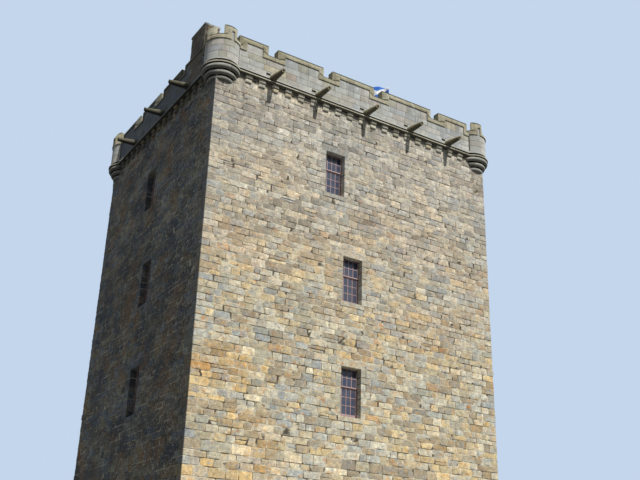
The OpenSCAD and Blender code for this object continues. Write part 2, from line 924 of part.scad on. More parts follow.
module at_windows(side) {
    on_side(side)
        for (i = [0:len(FLOORS) - 1])
            translate([windows(side)[i], 0, FLOORS[i] + sill_up]) children();
}

module front_windows() { color("rosybrown") at_windows(FRONT) window_unit(); }
module back_windows() { color("rosybrown") at_windows(BACK) window_unit(); }
module left_windows() { color("rosybrown") at_windows(LEFT) window_unit(); }
module right_windows() { color("rosybrown") at_windows(RIGHT) window_unit(); }

module window_glass() {
    color("lightblue") for (side = [FRONT, RIGHT, BACK, LEFT]) at_windows(side) window_panes();
}

// Door

module plank_door() {
    color("saddlebrown") on_side(BACK) doorway(door_check - stone_joint, reveal, reveal + door_t);
}

// Flag

// The staff stands on the garret floor and passes through the ridge
module staff(grow) {
    translate([staff_off, 0, wall_head]) cylinder(r = staff_r + grow, h = ridge_z + staff_up - wall_head);
}

module flagstaff() { color("white") staff(0); }

// How far the flag lies to one side at a share of its length from the staff
function wave_at(share) = flag_wave * sqrt(share) * sin(540 * share);

module flag() {
    steps = 24;
    line = [for (i = [0:steps]) [flag_l * i / steps, wave_at(i / steps)]];
    foot = ridge_z + staff_up - flag_h - staff_top;
    color("royalblue") translate([staff_off, 0, foot]) rotate([0, 0, -flag_turn])
        translate([staff_r - flag_t / 4, 0, 0]) linear_extrude(flag_h)
            polygon(concat(
                [for (p = line) [p[0], p[1] - flag_t / 2]],
                [for (i = [steps:-1:0]) [line[i][0], line[i][1] + flag_t / 2]]
            ));
}

front_wall();
back_wall();
left_wall();
right_wall();
ground_floor();
first_floor();
second_floor();
third_floor();
garret_floor();
front_corbels();
back_corbels();
left_corbels();
right_corbels();
string_course();
front_parapet();
back_parapet();
left_parapet();
right_parapet();
front_cope();
back_cope();
left_cope();
right_cope();
round_corbelling();
near_left_round();
near_right_round();
far_left_round();
far_right_round();
round_copes();
front_spouts();
back_spouts();
left_spouts();
right_spouts();
chimney_stack();
wall_walk();
garret_walls();
left_gable();
right_gable();
roof();
front_windows();
back_windows();
left_windows();
right_windows();
window_glass();
plank_door();
walk_door();
flagstaff();
flag();
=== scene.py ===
import math
import random
import bmesh
import bpy
from mathutils import Euler, Matrix, Vector, noise


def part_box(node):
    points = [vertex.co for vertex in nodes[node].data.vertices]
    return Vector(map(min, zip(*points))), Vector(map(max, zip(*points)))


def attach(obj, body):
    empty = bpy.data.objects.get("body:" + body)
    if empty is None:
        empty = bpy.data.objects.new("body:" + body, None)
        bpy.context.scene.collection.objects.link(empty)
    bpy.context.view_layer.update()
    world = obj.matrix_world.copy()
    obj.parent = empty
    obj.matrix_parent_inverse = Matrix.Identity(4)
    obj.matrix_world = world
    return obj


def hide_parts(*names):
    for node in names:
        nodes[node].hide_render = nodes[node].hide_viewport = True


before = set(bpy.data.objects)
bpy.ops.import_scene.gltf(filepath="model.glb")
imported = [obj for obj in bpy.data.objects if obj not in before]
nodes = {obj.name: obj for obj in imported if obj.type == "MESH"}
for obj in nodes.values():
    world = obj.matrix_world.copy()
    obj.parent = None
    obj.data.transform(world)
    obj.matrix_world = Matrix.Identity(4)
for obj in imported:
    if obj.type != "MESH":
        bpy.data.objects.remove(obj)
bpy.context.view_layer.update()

# Tools for materials

wiring = {}   # the material in hand: its tree, the place that its patterns read and its tone so far


def tint(red, green, blue):   # a colour from 0 to 255 as the eye reads it, made linear for the shaders
    values = [c / 255 for c in (red, green, blue)]
    return tuple(c / 12.92 if c <= 0.04045 else ((c + 0.055) / 1.055) ** 2.4 for c in values) + (1.0,)


def wire(node, key, value):   # a socket is linked to another, or set
    if isinstance(value, bpy.types.NodeSocket):
        wiring["tree"].links.new(value, node.inputs[key])
    else:
        node.inputs[key].default_value = value


def addNode(kind, inputs=None, **settings):
    made = wiring["tree"].nodes.new("ShaderNode" + kind)
    for key, value in settings.items():
        setattr(made, key, value)
    for key, value in (inputs or {}).items():
        wire(made, key, value)
    return made


def calc(operation, first, second=0.0):
    return addNode("Math", {0: first, 1: second}, operation=operation).outputs[0]


def product(first, *others):
    for other in others:
        first = calc("MULTIPLY", first, other)
    return first


def spread(value, low, high, newLow=0.0, newHigh=1.0):   # a value carried from one range to another
    inputs = {"Value": value, "From Min": low, "From Max": high, "To Min": newLow, "To Max": newHigh}
    return addNode("MapRange", inputs).outputs[0]


def blendTones(share, first, second, mode="MIX"):
    return addNode("Mix", {0: share, 6: first, 7: second}, data_type="RGBA", blend_type=mode).outputs[2]


def grain(scale, detail=4.0, stretch=None, roughness=0.55):   # noise, stretched along an axis if asked
    place = wiring["place"]
    if stretch:
        place = addNode("Mapping", {"Vector": place, "Scale": stretch}).outputs[0]
    inputs = {"Vector": place, "Scale": scale, "Detail": detail, "Roughness": roughness}
    return addNode("TexNoise", inputs).outputs[0]


def patch(name, most=1.0, least=0.0):   # one of the patterns below, from least to most
    scale, detail, low, high, *rest = patterns[name]
    return spread(grain(scale, detail, *rest), low, high, least, most)


def stain(name, share, mode="MIX"):   # one of the stains below, over the tone so far
    wiring["tone"] = blendTones(share, wiring["tone"], stainTones[name], mode)


def shadeBy(value, saturation=1.0):
    inputs = {"Color": wiring["tone"], "Saturation": saturation, "Value": value}
    wiring["tone"] = addNode("HueSaturation", inputs).outputs[0]


def toneRamp(value, stops, sharp=False):
    made = addNode("ValToRGB", {0: value})
    ramp = made.color_ramp
    ramp.interpolation = "CONSTANT" if sharp else "LINEAR"
    while len(ramp.elements) < len(stops):
        ramp.elements.new(0.5)
    for element, (position, colour) in zip(ramp.elements, stops):
        element.position = position
        element.color = colour
    return made.outputs[0]


def evenStops(kind):
    return [(i / len(tones[kind]), colour) for i, (colour, often) in enumerate(tones[kind])]


def ownNumbers():   # the tone and the shade that a stone or board carries
    facts = addNode("Attribute", attribute_name="stone").outputs["Color"]
    return addNode("SeparateColor", {0: facts}).outputs[:2]


def startMaterial(name, coordinates="Object"):
    material = bpy.data.materials.new(name)
    material.use_nodes = True
    wiring["material"] = material
    wiring["tree"] = material.node_tree
    wiring["place"] = addNode("TexCoord").outputs[coordinates]


def endMaterial(sockets, relief=None, depth=0.0):   # tone, gloss and bump go into the shader
    sockets = {"Base Color": wiring["tone"], **sockets}
    if relief is not None:
        bump = addNode("Bump", {"Height": relief, "Distance": depth, "Strength": 1.0})
        sockets["Normal"] = bump.outputs[0]
    for key, value in sockets.items():
        wire(wiring["tree"].nodes["Principled BSDF"], key, value)
    return wiring["material"]


def makePiece(name, bm, material, stands=None, sharpAngle=35):   # stands names a CAD node
    mesh = bpy.data.meshes.new(name)
    bm.to_mesh(mesh)
    bm.free()
    mesh.materials.append(material)
    mesh.shade_smooth()
    mesh.set_sharp_from_angle(angle=math.radians(sharpAngle))
    piece = bpy.data.objects.new(name, mesh)
    bpy.context.scene.collection.objects.link(piece)
    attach(piece, "root")
    if stands:
        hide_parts(stands)
    print(name, sum(len(p.vertices) - 2 for p in mesh.polygons), "triangles")
    return piece


def dress(material, *names):   # a finish for CAD nodes that stay
    for name in names:
        nodes[name].data.materials.clear()
        nodes[name].data.materials.append(material)


# Camera, light and floor

photoCamera = {
    "place": (-18.599, -32.266, 0.206), "turn": (113.400, -1.567, -32.669), "lens": 49.723, "far": 500.0,
}
studio = {
    "sunTurn": (46.0, 0.0, 4.0),      # from straight down, towards the front and a little from the right
    "sunSoftness": 2.0,
    "sunStrength": 4.6,
    "sunTone": (1.0, 0.97, 0.91),
    "fillTurn": (-58.0, 0.0, -28.0),  # from behind and a little from the right
    "fillSoftness": 40.0,
    "fillStrength": 0.9,
    "fillTone": (0.86, 0.93, 1.0),
    "skyTone": (0.62, 0.79, 1.0, 1.0),
    "skyStrength": 0.16,
    "backdrop": tint(196, 214, 236),
    "floorTone": tint(214, 214, 210),
    "floorBounce": tint(112, 110, 104),
    "floorRoughness": 0.9,
    "floorSize": 400.0,
}


def addObject(name, data, turn=(0.0, 0.0, 0.0)):
    made = bpy.data.objects.new(name, data)
    made.rotation_euler = Euler([math.radians(a) for a in turn], "XYZ")
    bpy.context.scene.collection.objects.link(made)
    return made


def setStudio():
    scene = bpy.context.scene
    data = bpy.data.cameras.new("photo_camera")
    data.lens = photoCamera["lens"]
    data.clip_end = photoCamera["far"]
    scene.camera = addObject("photo_camera", data, photoCamera["turn"])
    scene.camera.location = photoCamera["place"]
    scene.view_settings.view_transform = "Standard"

    for kind in ("sun", "fill"):
        lamp = bpy.data.lights.new(kind + "_light", "SUN")
        lamp.energy = studio[kind + "Strength"]
        lamp.color = studio[kind + "Tone"]
        lamp.angle = math.radians(studio[kind + "Softness"])
        addObject(kind + "_light", lamp, studio[kind + "Turn"])

    scene.world = bpy.data.worlds.new("studio")
    scene.world.use_nodes = True
    wiring["tree"] = scene.world.node_tree
    wiring["tree"].nodes.clear()
    rays = addNode("LightPath").outputs
    seen = calc("MAXIMUM", rays["Is Camera Ray"], rays["Is Glossy Ray"])
    seen = calc("MAXIMUM", seen, rays["Is Transmission Ray"])
    sky = addNode("Background", {"Color": studio["skyTone"], "Strength": studio["skyStrength"]})
    pale = addNode("Background", {"Color": studio["backdrop"], "Strength": 1.0})
    mixed = addNode("MixShader", {0: seen, 1: sky.outputs[0], 2: pale.outputs[0]})
    addNode("OutputWorld", {"Surface": mixed.outputs[0]})

    bm = bmesh.new()
    bmesh.ops.create_grid(bm, x_segments=8, y_segments=8, size=studio["floorSize"] / 2)
    mesh = bpy.data.meshes.new("studio_floor")
    bm.to_mesh(mesh)
    bm.free()
    startMaterial("studioFloor")
    seen = addNode("LightPath").outputs["Is Camera Ray"]
    wiring["tone"] = blendTones(seen, studio["floorBounce"], studio["floorTone"])
    mesh.materials.append(endMaterial({"Roughness": studio["floorRoughness"]}))
    addObject("studio_floor", mesh)


setStudio()
print("camera, light and floor are set")

# Finishes

toneChoices = {   # red, green and blue of each tone, and how often it is found; walls run from cool to warm
    "wall": [(166, 175, 182, 10), (190, 195, 190, 12), (172, 172, 158, 10), (214, 212, 198, 12),
             (232, 224, 200, 10), (206, 192, 154, 14), (178, 156, 118, 12), (226, 200, 138, 8),
             (240, 216, 160, 7), (156, 136, 106, 9), (208, 160, 90, 5), (134, 114, 92, 5)],
    # the left wall's darker, bluer tones: partly damp stone, partly painted shade
    "moistShade": [(104, 114, 128, 12), (128, 136, 144, 12), (150, 150, 144, 8), (128, 124, 112, 10),
             (158, 152, 134, 8), (140, 124, 96, 8), (104, 98, 88, 8), (150, 122, 88, 4)],
    "ashlar": [(196, 200, 202, 10), (203, 206, 204, 14), (212, 212, 208, 14), (204, 201, 195, 8),
               (199, 198, 186, 8), (216, 210, 190, 5), (198, 186, 176, 1)],
    # the left parapet's tones: partly damp stone, partly painted shade
    "moistShadeAshlar": [(108, 116, 126, 12), (120, 126, 134, 12), (132, 136, 138, 8), (118, 114, 108, 5)],
    "core": [(188, 186, 166, 10), (196, 190, 160, 10)],
    "stack": [(158, 138, 116, 10), (172, 158, 132, 10), (142, 118, 100, 6), (168, 158, 130, 8)],
    "joints": [(120, 118, 108, 10), (104, 100, 90, 10)],
    "slab": [(214, 212, 204, 10), (204, 202, 192, 8)],
    "paving": [(150, 148, 140, 10), (164, 160, 148, 10), (138, 136, 128, 6), (170, 158, 138, 4)],
    "slates": [(96, 102, 110, 10), (84, 90, 98, 10), (108, 112, 118, 8), (98, 98, 104, 6),
               (112, 110, 106, 3)],
    "mossy": [(192, 186, 162, 10), (202, 197, 174, 10), (208, 205, 186, 8), (180, 174, 148, 6)],
    "fillet": [(200, 195, 176, 10), (210, 206, 190, 10), (188, 184, 164, 6)],
    "roll": [(178, 179, 174, 10), (192, 192, 186, 10), (162, 163, 156, 6)],
    "corbel": [(204, 202, 190, 10), (216, 212, 198, 10), (188, 184, 168, 6), (208, 198, 174, 4)],
    # the left corbels' tones: partly damp stone, partly painted shade
    "moistShadeCorbel": [(112, 108, 92, 10), (96, 92, 80, 8), (132, 120, 94, 5)],
    "spout": [(158, 148, 118, 10), (142, 132, 104, 10), (176, 168, 138, 5)],
    "boards": [(150, 118, 82, 10), (164, 132, 94, 10), (136, 106, 74, 6), (158, 134, 104, 4)],
    "planks": [(112, 84, 58, 1), (126, 96, 68, 1), (98, 74, 52, 1)],
    "oak": [(112, 84, 58, 1), (98, 74, 52, 1)],
}
tones = {kind: [(tint(r, g, b), often) for r, g, b, often in rows] for kind, rows in toneChoices.items()}
stainTones = {
    "grey": tint(92, 88, 78),
    "moss": tint(122, 118, 84),
    "rim": tint(66, 64, 46),
    # near black for undersides, the hollow and under the string course: partly algae, partly painted shade
    "slimeAndShade": tint(38, 38, 33),
    "lichen": tint(230, 229, 218),
    "iron": tint(214, 160, 96),
    "soot": tint(56, 61, 68),
    "rust": tint(140, 108, 74),
    "ochre": tint(206, 166, 100),
    "amber": tint(204, 138, 58),
    "slate": tint(160, 168, 176),
    "cream": tint(234, 228, 208),
    "clean": tint(203, 206, 204),
    # darkens the left face: partly damp stone, partly painted shade
    "shaded": tint(158, 162, 172),
    "bleached": tint(128, 122, 110),
}
level = (1.0, 1.0, 1.5)   # stretches of a pattern
bands = (1.0, 1.0, 16.0)
runs = (5.0, 5.0, 0.3)
patterns = {   # fineness, detail, where it starts, where it is full, and perhaps its stretch and roughness
    "pick": (1.6, 2.0, 0.3, 0.7),
    "shade": (0.9, 2.0, 0.3, 0.7),
    "slate": (3.1, 6.0, 0.52, 0.64, level, 0.62),
    "ochre": (3.7, 6.0, 0.53, 0.66, level, 0.62),
    "amber": (2.3, 6.0, 0.63, 0.70, level, 0.62),
    "cream": (8.0, 6.0, 0.56, 0.68, level, 0.62),
    "mottle": (6.0, 6.0, 0.3, 0.7, None, 0.65),
    "pitted": (21.0, 4.0, 0.3, 0.7),
    "iron": (1.3, 3.0, 0.52, 0.72, bands),
    "speckle": (60.0, 3.0, 0.2, 0.8),
    "lichen": (17.0, 4.0, 0.60, 0.70),
    "streaks": (1.0, 4.0, 0.46, 0.70, runs),
    "moss": (2.6, 6.0, 0.50, 0.66),
    "soot": (0.55, 6.0, 0.40, 0.62, (1.0, 1.0, 1.8), 0.6),
    "rust": (1.1, 5.0, 0.52, 0.64),
    "flecks": (7.0, 6.0, 0.575, 0.61, (1.0, 1.7, 0.9), 0.75),
    "drip": (1.7, 4.0, 0.35, 0.60),
    "growth": (4.0, 5.0, 0.34, 0.58),
    "lime": (2.1, 6.0, 0.42, 0.56, (1.0, 1.0, 2.0)),
    "grit": (70.0, 3.0, 0.2, 0.8),
    "bleached": (1.4, 4.0, 0.45, 0.75),
    "flakes": (22.0, 6.0, 0.56, 0.64, None, 0.7),
    "fade": (2.0, 3.0, 0.3, 0.7),
    "dirt": (3.0, 5.0, 0.35, 0.75),
    "scale": (18.0, 6.0, 0.52, 0.68),
    "cloth": (3.0, 4.0, 0.3, 0.7),
}
weathering = {"slate": 1.0, "ochre": 1.0, "amber": 1.2, "cream": 0.8}   # strengths of stains within a stone
regionStops = [(0.38, tint(182, 186, 180)), (0.50, tint(212, 204, 178)), (0.62, tint(212, 180, 126))]
looks = {
    "wallStone": {
        "tones": "wall", "ownValues": True, "greyFrom": 9.0, "greyTo": 18.5, "grey": 0.85, "mottle": 0.28,
        "streaks": 0.42, "streakFrom": 17.5, "streakTo": 20.0, "moss": 0.08, "lichen": 0.25, "iron": 0.20,
        "up": 0.0, "down": 0.0, "soot": 0.0, "region": 0.42, "weather": 0.62, "shades": (0.82, 1.20),
        "shaded": 0.9, "shadedTo": 9.0, "rims": (), "drip": 0.75, "bump": 0.010,
    },
    "ashlarStone": {
        "tones": "ashlar", "ownValues": True, "greyFrom": 30.0, "greyTo": 31.0, "grey": 0.0, "mottle": 0.12,
        "streaks": 0.35, "streakFrom": 20.2, "streakTo": 21.2, "moss": 0.08, "lichen": 0.30, "iron": 0.10,
        "up": 0.0, "down": 0.0, "soot": 0.0, "region": 0.0, "weather": 0.0, "shades": (0.90, 1.06),
        "shaded": 0.85, "shadedTo": 4.63, "rims": (), "drip": 0.0, "bump": 0.005,
    },
}
frameRims = [(21.25, 21.42), (21.66, 22.0)]   # where dark growth lines the tops of sills and merlons
roundRims = [(21.34, 21.51), (21.75, 22.0)]
stoneFaces = {
    "drip": (19.72, 19.95),         # heights under the string course that are darkened: partly wet stone, partly painted shade
    "leftX": (-6.834, -6.842),      # past this the left face is darkened and blued: partly damp, partly painted shade
    "leftSoftens": 0.05,
    "lichenY": (1.0, -4.5),         # lichen of the left face thickens towards the near corner
    "lichenLeast": 0.25,
    "rimUp": 0.03,
    "rimDown": 0.01,
    "rimShare": 0.92,
    "cleanShare": 0.85,
    "fine": 0.7,                    # share of the mottling that the fine pits have
    "agedSaturation": 0.3,
}


def stoneMaterial(name, look):
    startMaterial(name)
    x, y, height = addNode("SeparateXYZ", {0: wiring["place"]}).outputs
    facing = addNode("SeparateXYZ", {0: addNode("NewGeometry").outputs["Normal"]}).outputs["Z"]
    if look["ownValues"]:
        pick, shade = ownNumbers()
    else:
        pick, shade = patch("pick"), patch("shade", 0.65, 0.35)
    wiring["tone"] = toneRamp(pick, evenStops(look["tones"]), look["ownValues"])
    if look["region"]:
        region = toneRamp(grain(0.30, 3.0, level), regionStops)
        wiring["tone"] = blendTones(look["region"], wiring["tone"], region)
    if look["weather"]:
        for kind, strength in weathering.items():
            stain(kind, patch(kind, look["weather"] * strength))
    coarse, fine = look["mottle"], look["mottle"] * stoneFaces["fine"]
    uneven = product(patch("mottle", 1 + coarse, 1 - coarse), patch("pitted", 1 + fine, 1 - fine))
    aged = spread(height, look["greyFrom"], look["greyTo"], 0.0, look["grey"])
    faded = spread(aged, 0.0, 1.0, 1.0, stoneFaces["agedSaturation"])
    shadeBy(product(uneven, spread(shade, 0.0, 1.0, *look["shades"])), faded)
    stain("iron", patch("iron", look["iron"]), "MULTIPLY")
    shadeBy(patch("speckle", 1.12, 0.86))
    stain("lichen", patch("lichen", look["lichen"]))
    reach = spread(height, look["streakFrom"], look["streakTo"], 0.0, look["streaks"])
    stain("grey", product(patch("streaks"), reach))
    stain("moss", patch("moss", look["moss"]))
    if look["soot"]:
        stain("soot", patch("soot", look["soot"]))
        stain("rust", patch("rust", look["rust"]))
        near = spread(y, *stoneFaces["lichenY"], stoneFaces["lichenLeast"], 1.0)
        stain("lichen", product(patch("flecks", look["lichen"]), near))
    # painted shade under the string course, partly wet stone
    if look["drip"]:
        seepShare = spread(height, *stoneFaces["drip"], 0.0, look["drip"])
        stain("slimeAndShade", product(seepShare, patch("drip", 1.0, 0.5)))
    if look["up"]:
        stain("moss", product(patch("growth"), spread(facing, 0.1, 0.5, 0.0, look["up"])))
    for low, high in look["rims"]:
        over = spread(height, low, low + stoneFaces["rimUp"])
        under = spread(height, high, high - stoneFaces["rimDown"])
        flat = spread(facing, 0.1, 0.3, 0.0, stoneFaces["rimShare"])
        stain("rim", product(product(over, under), flat))
    # undersides darkened: painted shade, partly algae
    if look["down"]:
        stain("slimeAndShade", spread(facing, -0.05, -0.6, 0.0, look["down"]))
    if "hollow" in look:
        low, high = look["hollow"]
        stain("clean", spread(height, high, high + 0.01, 0.0, stoneFaces["cleanShare"]))
        # the hollow under the parapet darkened: painted shade in the recess, partly soot
        dark = product(spread(height, low, low + 0.01), spread(height, high + 0.01, high))
        stain("slimeAndShade", product(dark, stoneFaces["rimShare"]))
    # the left face darkened and blued: partly damp, partly painted shade
    if look["shaded"]:
        away = spread(x, *stoneFaces["leftX"], 0.0, look["shaded"])
        across = spread(calc("ABSOLUTE", y), look["shadedTo"], look["shadedTo"] - stoneFaces["leftSoftens"])
        stain("shaded", product(away, across), "MULTIPLY")
    relief = calc("ADD", grain(26.0, 5.0), grain(7.0, 3.0))
    return endMaterial({"Roughness": 0.92, "Diffuse Roughness": 1.0}, relief, look["bump"])


def addLook(name, base, **changes):
    looks[name] = {**looks[base], **changes}


# the left wall's look, darker than the others: partly damp, partly painted shade
addLook("moistShadeStone", "wallStone", tones="moistShade", grey=0.3, streaks=0.7, lichen=0.9, iron=0.55, mottle=0.45,
        soot=0.9, region=0.0, weather=0.0, shaded=0.0, drip=0.6, shades=(0.62, 1.22), rust=0.6)
addLook("garretStone", "wallStone", grey=0.0, streaks=0.25, streakFrom=20.0, streakTo=24.0, region=0.15,
        drip=0.0)
# the left parapet's look: partly damp, partly painted shade
addLook("moistShadeAshlar", "ashlarStone", tones="moistShadeAshlar", lichen=0.2, soot=0.4, shaded=0.0, rust=0.0)
# down darkens the undersides of mouldings, corbels and spouts: painted shade, partly algae
addLook("mossyStone", "ashlarStone", tones="mossy", moss=0.35, iron=0.0, mottle=0.2, up=0.35, down=0.5,
        rims=frameRims)
addLook("mossyRound", "mossyStone", rims=roundRims)
addLook("filletStone", "mossyStone", tones="fillet", moss=0.12, up=0.2, down=0.9, rims=(),
        hollow=(20.07, 20.19))
addLook("rollStone", "mossyStone", tones="roll", moss=0.06, up=0.1, down=0.7, rims=())
addLook("corbelStone", "ashlarStone", tones="corbel", moss=0.10, streaks=0.0, mottle=0.25, bump=0.008,
        down=0.6, iron=0.0)
# the left corbels' look: partly damp, partly painted shade
addLook("moistShadeCorbel", "corbelStone", tones="moistShadeCorbel", shaded=0.0, mottle=0.4)
addLook("spoutStone", "ashlarStone", tones="spout", moss=0.25, lichen=0.25, streaks=0.0, mottle=0.25,
        down=0.85, ownValues=False)
addLook("stackStone", "ashlarStone", tones="stack", streakFrom=21.5, streakTo=23.0, shades=(0.80, 1.10))
addLook("slabStone", "ashlarStone", tones="slab", ownValues=False)
addLook("thinJoints", "ashlarStone", tones="joints", ownValues=False, lichen=0.0)
addLook("plainAshlar", "ashlarStone", ownValues=False, lichen=0.4, moss=0.25)
addLook("pavingStone", "ashlarStone", tones="paving", streaks=0.0, moss=0.30, lichen=0.25)
addLook("splitSlate", "ashlarStone", tones="slates", streaks=0.0, moss=0.12, lichen=0.25, iron=0.0,
        bump=0.003)

alongX = (0.6, 9.0, 9.0)   # the way that the grain of wood runs
alongZ = (9.0, 9.0, 0.6)
flagCloth = {
    "length": 1.25, "height": 0.76, "wave": 0.09, "ripple": 0.022, "turn": -35.0, "x": 4.0, "start": 0.042,
    "foot": 25.2636, "arm": 0.13, "thick": 0.003, "steps": 48, "rows": 16, "swing": 540, "ripples": (21, 4.5),
    "threads": {"X": 160.0, "Y": 100.0},
}


def mortarMaterial():
    startMaterial("limeMortar")
    wiring["tone"] = blendTones(patch("lime"), tint(200, 192, 170), tint(78, 70, 58))
    shadeBy(patch("grit", 1.15, 0.75))
    return endMaterial({"Roughness": 0.95}, grain(45.0, 5.0), 0.008)


def woodMaterial(name, kind, along, ownValues=True):
    startMaterial(name)
    pick = ownNumbers()[0] if ownValues else spread(grain(1.0, 2.0, along), 0.3, 0.7)
    wiring["tone"] = toneRamp(pick, evenStops(kind))
    fibre = grain(5.0, 8.0, along, 0.7)
    shadeBy(spread(fibre, 0.25, 0.75, 0.62, 1.25))
    stain("bleached", patch("bleached", 0.5))
    return endMaterial({"Roughness": 0.6}, fibre, 0.003)


def paintMaterial(name, colour, worn, rough, wear):
    startMaterial(name)
    flakes = patch("flakes", wear)
    wiring["tone"] = colour
    shadeBy(patch("fade", 1.10, 0.86))
    wiring["tone"] = blendTones(flakes, wiring["tone"], worn)
    return endMaterial({"Roughness": spread(flakes, 0.0, 1.0, rough, 0.9)}, grain(90.0), 0.0012)


def glassMaterial():
    startMaterial("glassSkyReflection")
    dirt = patch("dirt")
    # the dark slate-blue is a painted reflection of the sky and painted shade of the dark rooms behind; the
    # grey patches are dirt
    wiring["tone"] = blendTones(dirt, tint(58, 66, 88), tint(84, 84, 92))
    return endMaterial({"Roughness": spread(dirt, 0.0, 1.0, 0.06, 0.22)}, grain(5.0, 2.0), 0.004)


def ironMaterial():
    startMaterial("blackIron")
    rust = patch("scale", 0.8)
    wiring["tone"] = blendTones(rust, tint(48, 47, 46), tint(112, 72, 48))
    return endMaterial({"Roughness": spread(rust, 0.0, 1.0, 0.45, 0.85), "Metallic": 0.6}, grain(70.0), 0.002)


def clothMaterial():   # a diagonal cross on a plain ground, by the cloth's own UV map
    startMaterial("flagCloth", "UV")
    u, v = addNode("SeparateXYZ", {0: wiring["place"]}).outputs[:2]
    falling = calc("ABSOLUTE", calc("SUBTRACT", u, v))
    rising = calc("ABSOLUTE", calc("SUBTRACT", calc("ADD", u, v), 1.0))
    cross = calc("LESS_THAN", calc("MINIMUM", falling, rising), flagCloth["arm"])
    wiring["tone"] = blendTones(cross, tint(32, 104, 196), tint(226, 230, 234))
    shadeBy(patch("cloth", 1.08, 0.88))
    weave = []
    for way, count in flagCloth["threads"].items():
        inputs = {"Vector": wiring["place"], "Scale": count}
        weave.append(addNode("TexWave", inputs, wave_type="BANDS", bands_direction=way).outputs[1])
    return endMaterial({"Roughness": 0.8, "Sheen Weight": 0.2}, calc("ADD", *weave), 0.0006)


finish = {name: stoneMaterial(name, look) for name, look in looks.items()}
finish["limeMortar"] = mortarMaterial()
finish["oakBoards"] = woodMaterial("oakBoards", "boards", alongX)
finish["oakPlanks"] = woodMaterial("oakPlanks", "planks", alongZ)
finish["plainOak"] = woodMaterial("plainOak", "oak", alongZ, False)
finish["sashPaint"] = paintMaterial("sashPaint", tint(160, 136, 136), tint(118, 100, 97), 0.5, 0.5)
finish["staffPaint"] = paintMaterial("staffPaint", tint(228, 228, 222), tint(170, 164, 150), 0.3, 0.4)
finish["glassSkyReflection"] = glassMaterial()
finish["blackIron"] = ironMaterial()
finish["flagCloth"] = clothMaterial()
print("the finishes are mixed")

# Laying stone

sideTurns = {"front": 0, "right": 1, "back": 2, "left": 3}   # quarter turns from the front
tower = {"halfX": 6.85, "halfY": 5.5, "head": 20.0}


def ofSide(side, pair):   # the first of a pair for the front and back, the second for the left and right
    return pair[sideTurns[side] % 2]


def halfDepth(side):
    return ofSide(side, (tower["halfY"], tower["halfX"]))


def sidePoint(side, u, z, out):   # u runs to the right as seen from outside, out from the wall face
    x, y = u, -halfDepth(side) - out
    for turn in range(sideTurns[side]):
        x, y = -y, x
    return Vector((x, y, z))


def sideFrame(side, u, z):   # places what is drawn at a front with its wall face at y = 0
    turn = Matrix.Rotation(math.radians(90 * sideTurns[side]), 4, "Z")
    return turn @ Matrix.Translation((u, -halfDepth(side), z))


def facePlace(side, face, way=1):   # a wall's outer face, or with way -1 the inner face of its parapet
    def place(s, z, out):
        return sidePoint(side, way * s, z, way * (face + out))
    return place


def flatPlace(top):
    def place(x, y, out):
        return Vector((x, y, top + out))
    return place


def roundPlace(cx, cy, radius):
    def place(s, z, out):
        turn = s / radius
        return Vector((cx + (radius + out) * math.cos(turn), cy + (radius + out) * math.sin(turn), z))
    return place


def boxRun(centre, halfX, halfY):   # runs round a box: stones that pass a corner turn with it
    lengths = [2 * halfX, 2 * halfY, 2 * halfX, 2 * halfY]
    starts = [0.0, lengths[0], lengths[0] + lengths[1], 2 * lengths[0] + lengths[1]]
    corners = [(-halfX, -halfY), (halfX, -halfY), (halfX, halfY), (-halfX, halfY)]
    ways = [(1, 0), (0, 1), (-1, 0), (0, -1)]
    total = sum(lengths)

    def place(s, z, out):
        s %= total
        if total - s < 1e-5:
            s = 0.0
        k = max(i for i in range(4) if s > starts[i] - 1e-5)
        t = s - starts[k]
        x = centre[0] + corners[k][0] + ways[k][0] * t
        y = centre[1] + corners[k][1] + ways[k][1] * t
        for i in (k, k - 1) if abs(t) < 1e-5 else (k,):   # a point on the corner moves out from both sides
            x += ways[i][1] * out
            y -= ways[i][0] * out
        return Vector((x, y, z))

    return place, starts, lengths


def pairs(line):
    return list(zip(line, line[1:]))


joining = {   # how far a joint keeps from those below, and how narrow a last stone may be
    "clear": 0.07, "moved": 0.09, "least": 0.8, "narrowest": 0.05, "waver": 0.02, "sliver": 0.02,
    "arris": 0.03,
}


def evenLines(low, high, count, rng=None):
    lines = [low + (high - low) * i / count for i in range(count + 1)]
    if rng:
        low, high = -joining["waver"], joining["waver"]
        lines = [z if i in (0, count) else z + rng.uniform(low, high) for i, z in enumerate(lines)]
    return lines


def gradedLine(low, high, edge, step, arris=None):   # a stone's rows: a thin border, then even steps
    inner = [low + edge, high - edge]
    stops = inner if arris is None else [low + edge, arris, high - edge]
    line = [low]
    for a, b in pairs(stops):
        count = max(1, round((b - a) / step))
        line += [a + (b - a) * i / count for i in range(count)]
    return line + [inner[1], high]


def newStones():   # a mesh whose vertices carry the numbers of their stone
    bm = bmesh.new()
    bm.verts.layers.float_color.new("stone")
    return bm


def layStone(bm, place, columns, rows, rise, rough, facts, sunk=0.006):   # its edges are sunk in the joint
    made = bmesh.ops.create_grid(bm, x_segments=len(columns) - 1, y_segments=len(rows) - 1, size=0.5)
    layer = bm.verts.layers.float_color["stone"]
    lastColumn, lastRow = len(columns) - 1, len(rows) - 1
    seed = Vector((facts[3] * 50, facts[0] * 50, 0))
    for index, vert in enumerate(made["verts"]):
        i, j = index % len(columns), index // len(columns)
        s, z = columns[i], rows[j]
        if i in (0, lastColumn) or j in (0, lastRow):
            out = -sunk
        else:
            out = rise + rough * noise.noise(Vector((s * 5, z * 5, 0)) + seed)
            if i in (1, lastColumn - 1) and j in (1, lastRow - 1):
                out -= min(rise, 0.5 * rise + rough * 0.5)
        vert.co = place(s, z, out)
        vert[layer] = facts


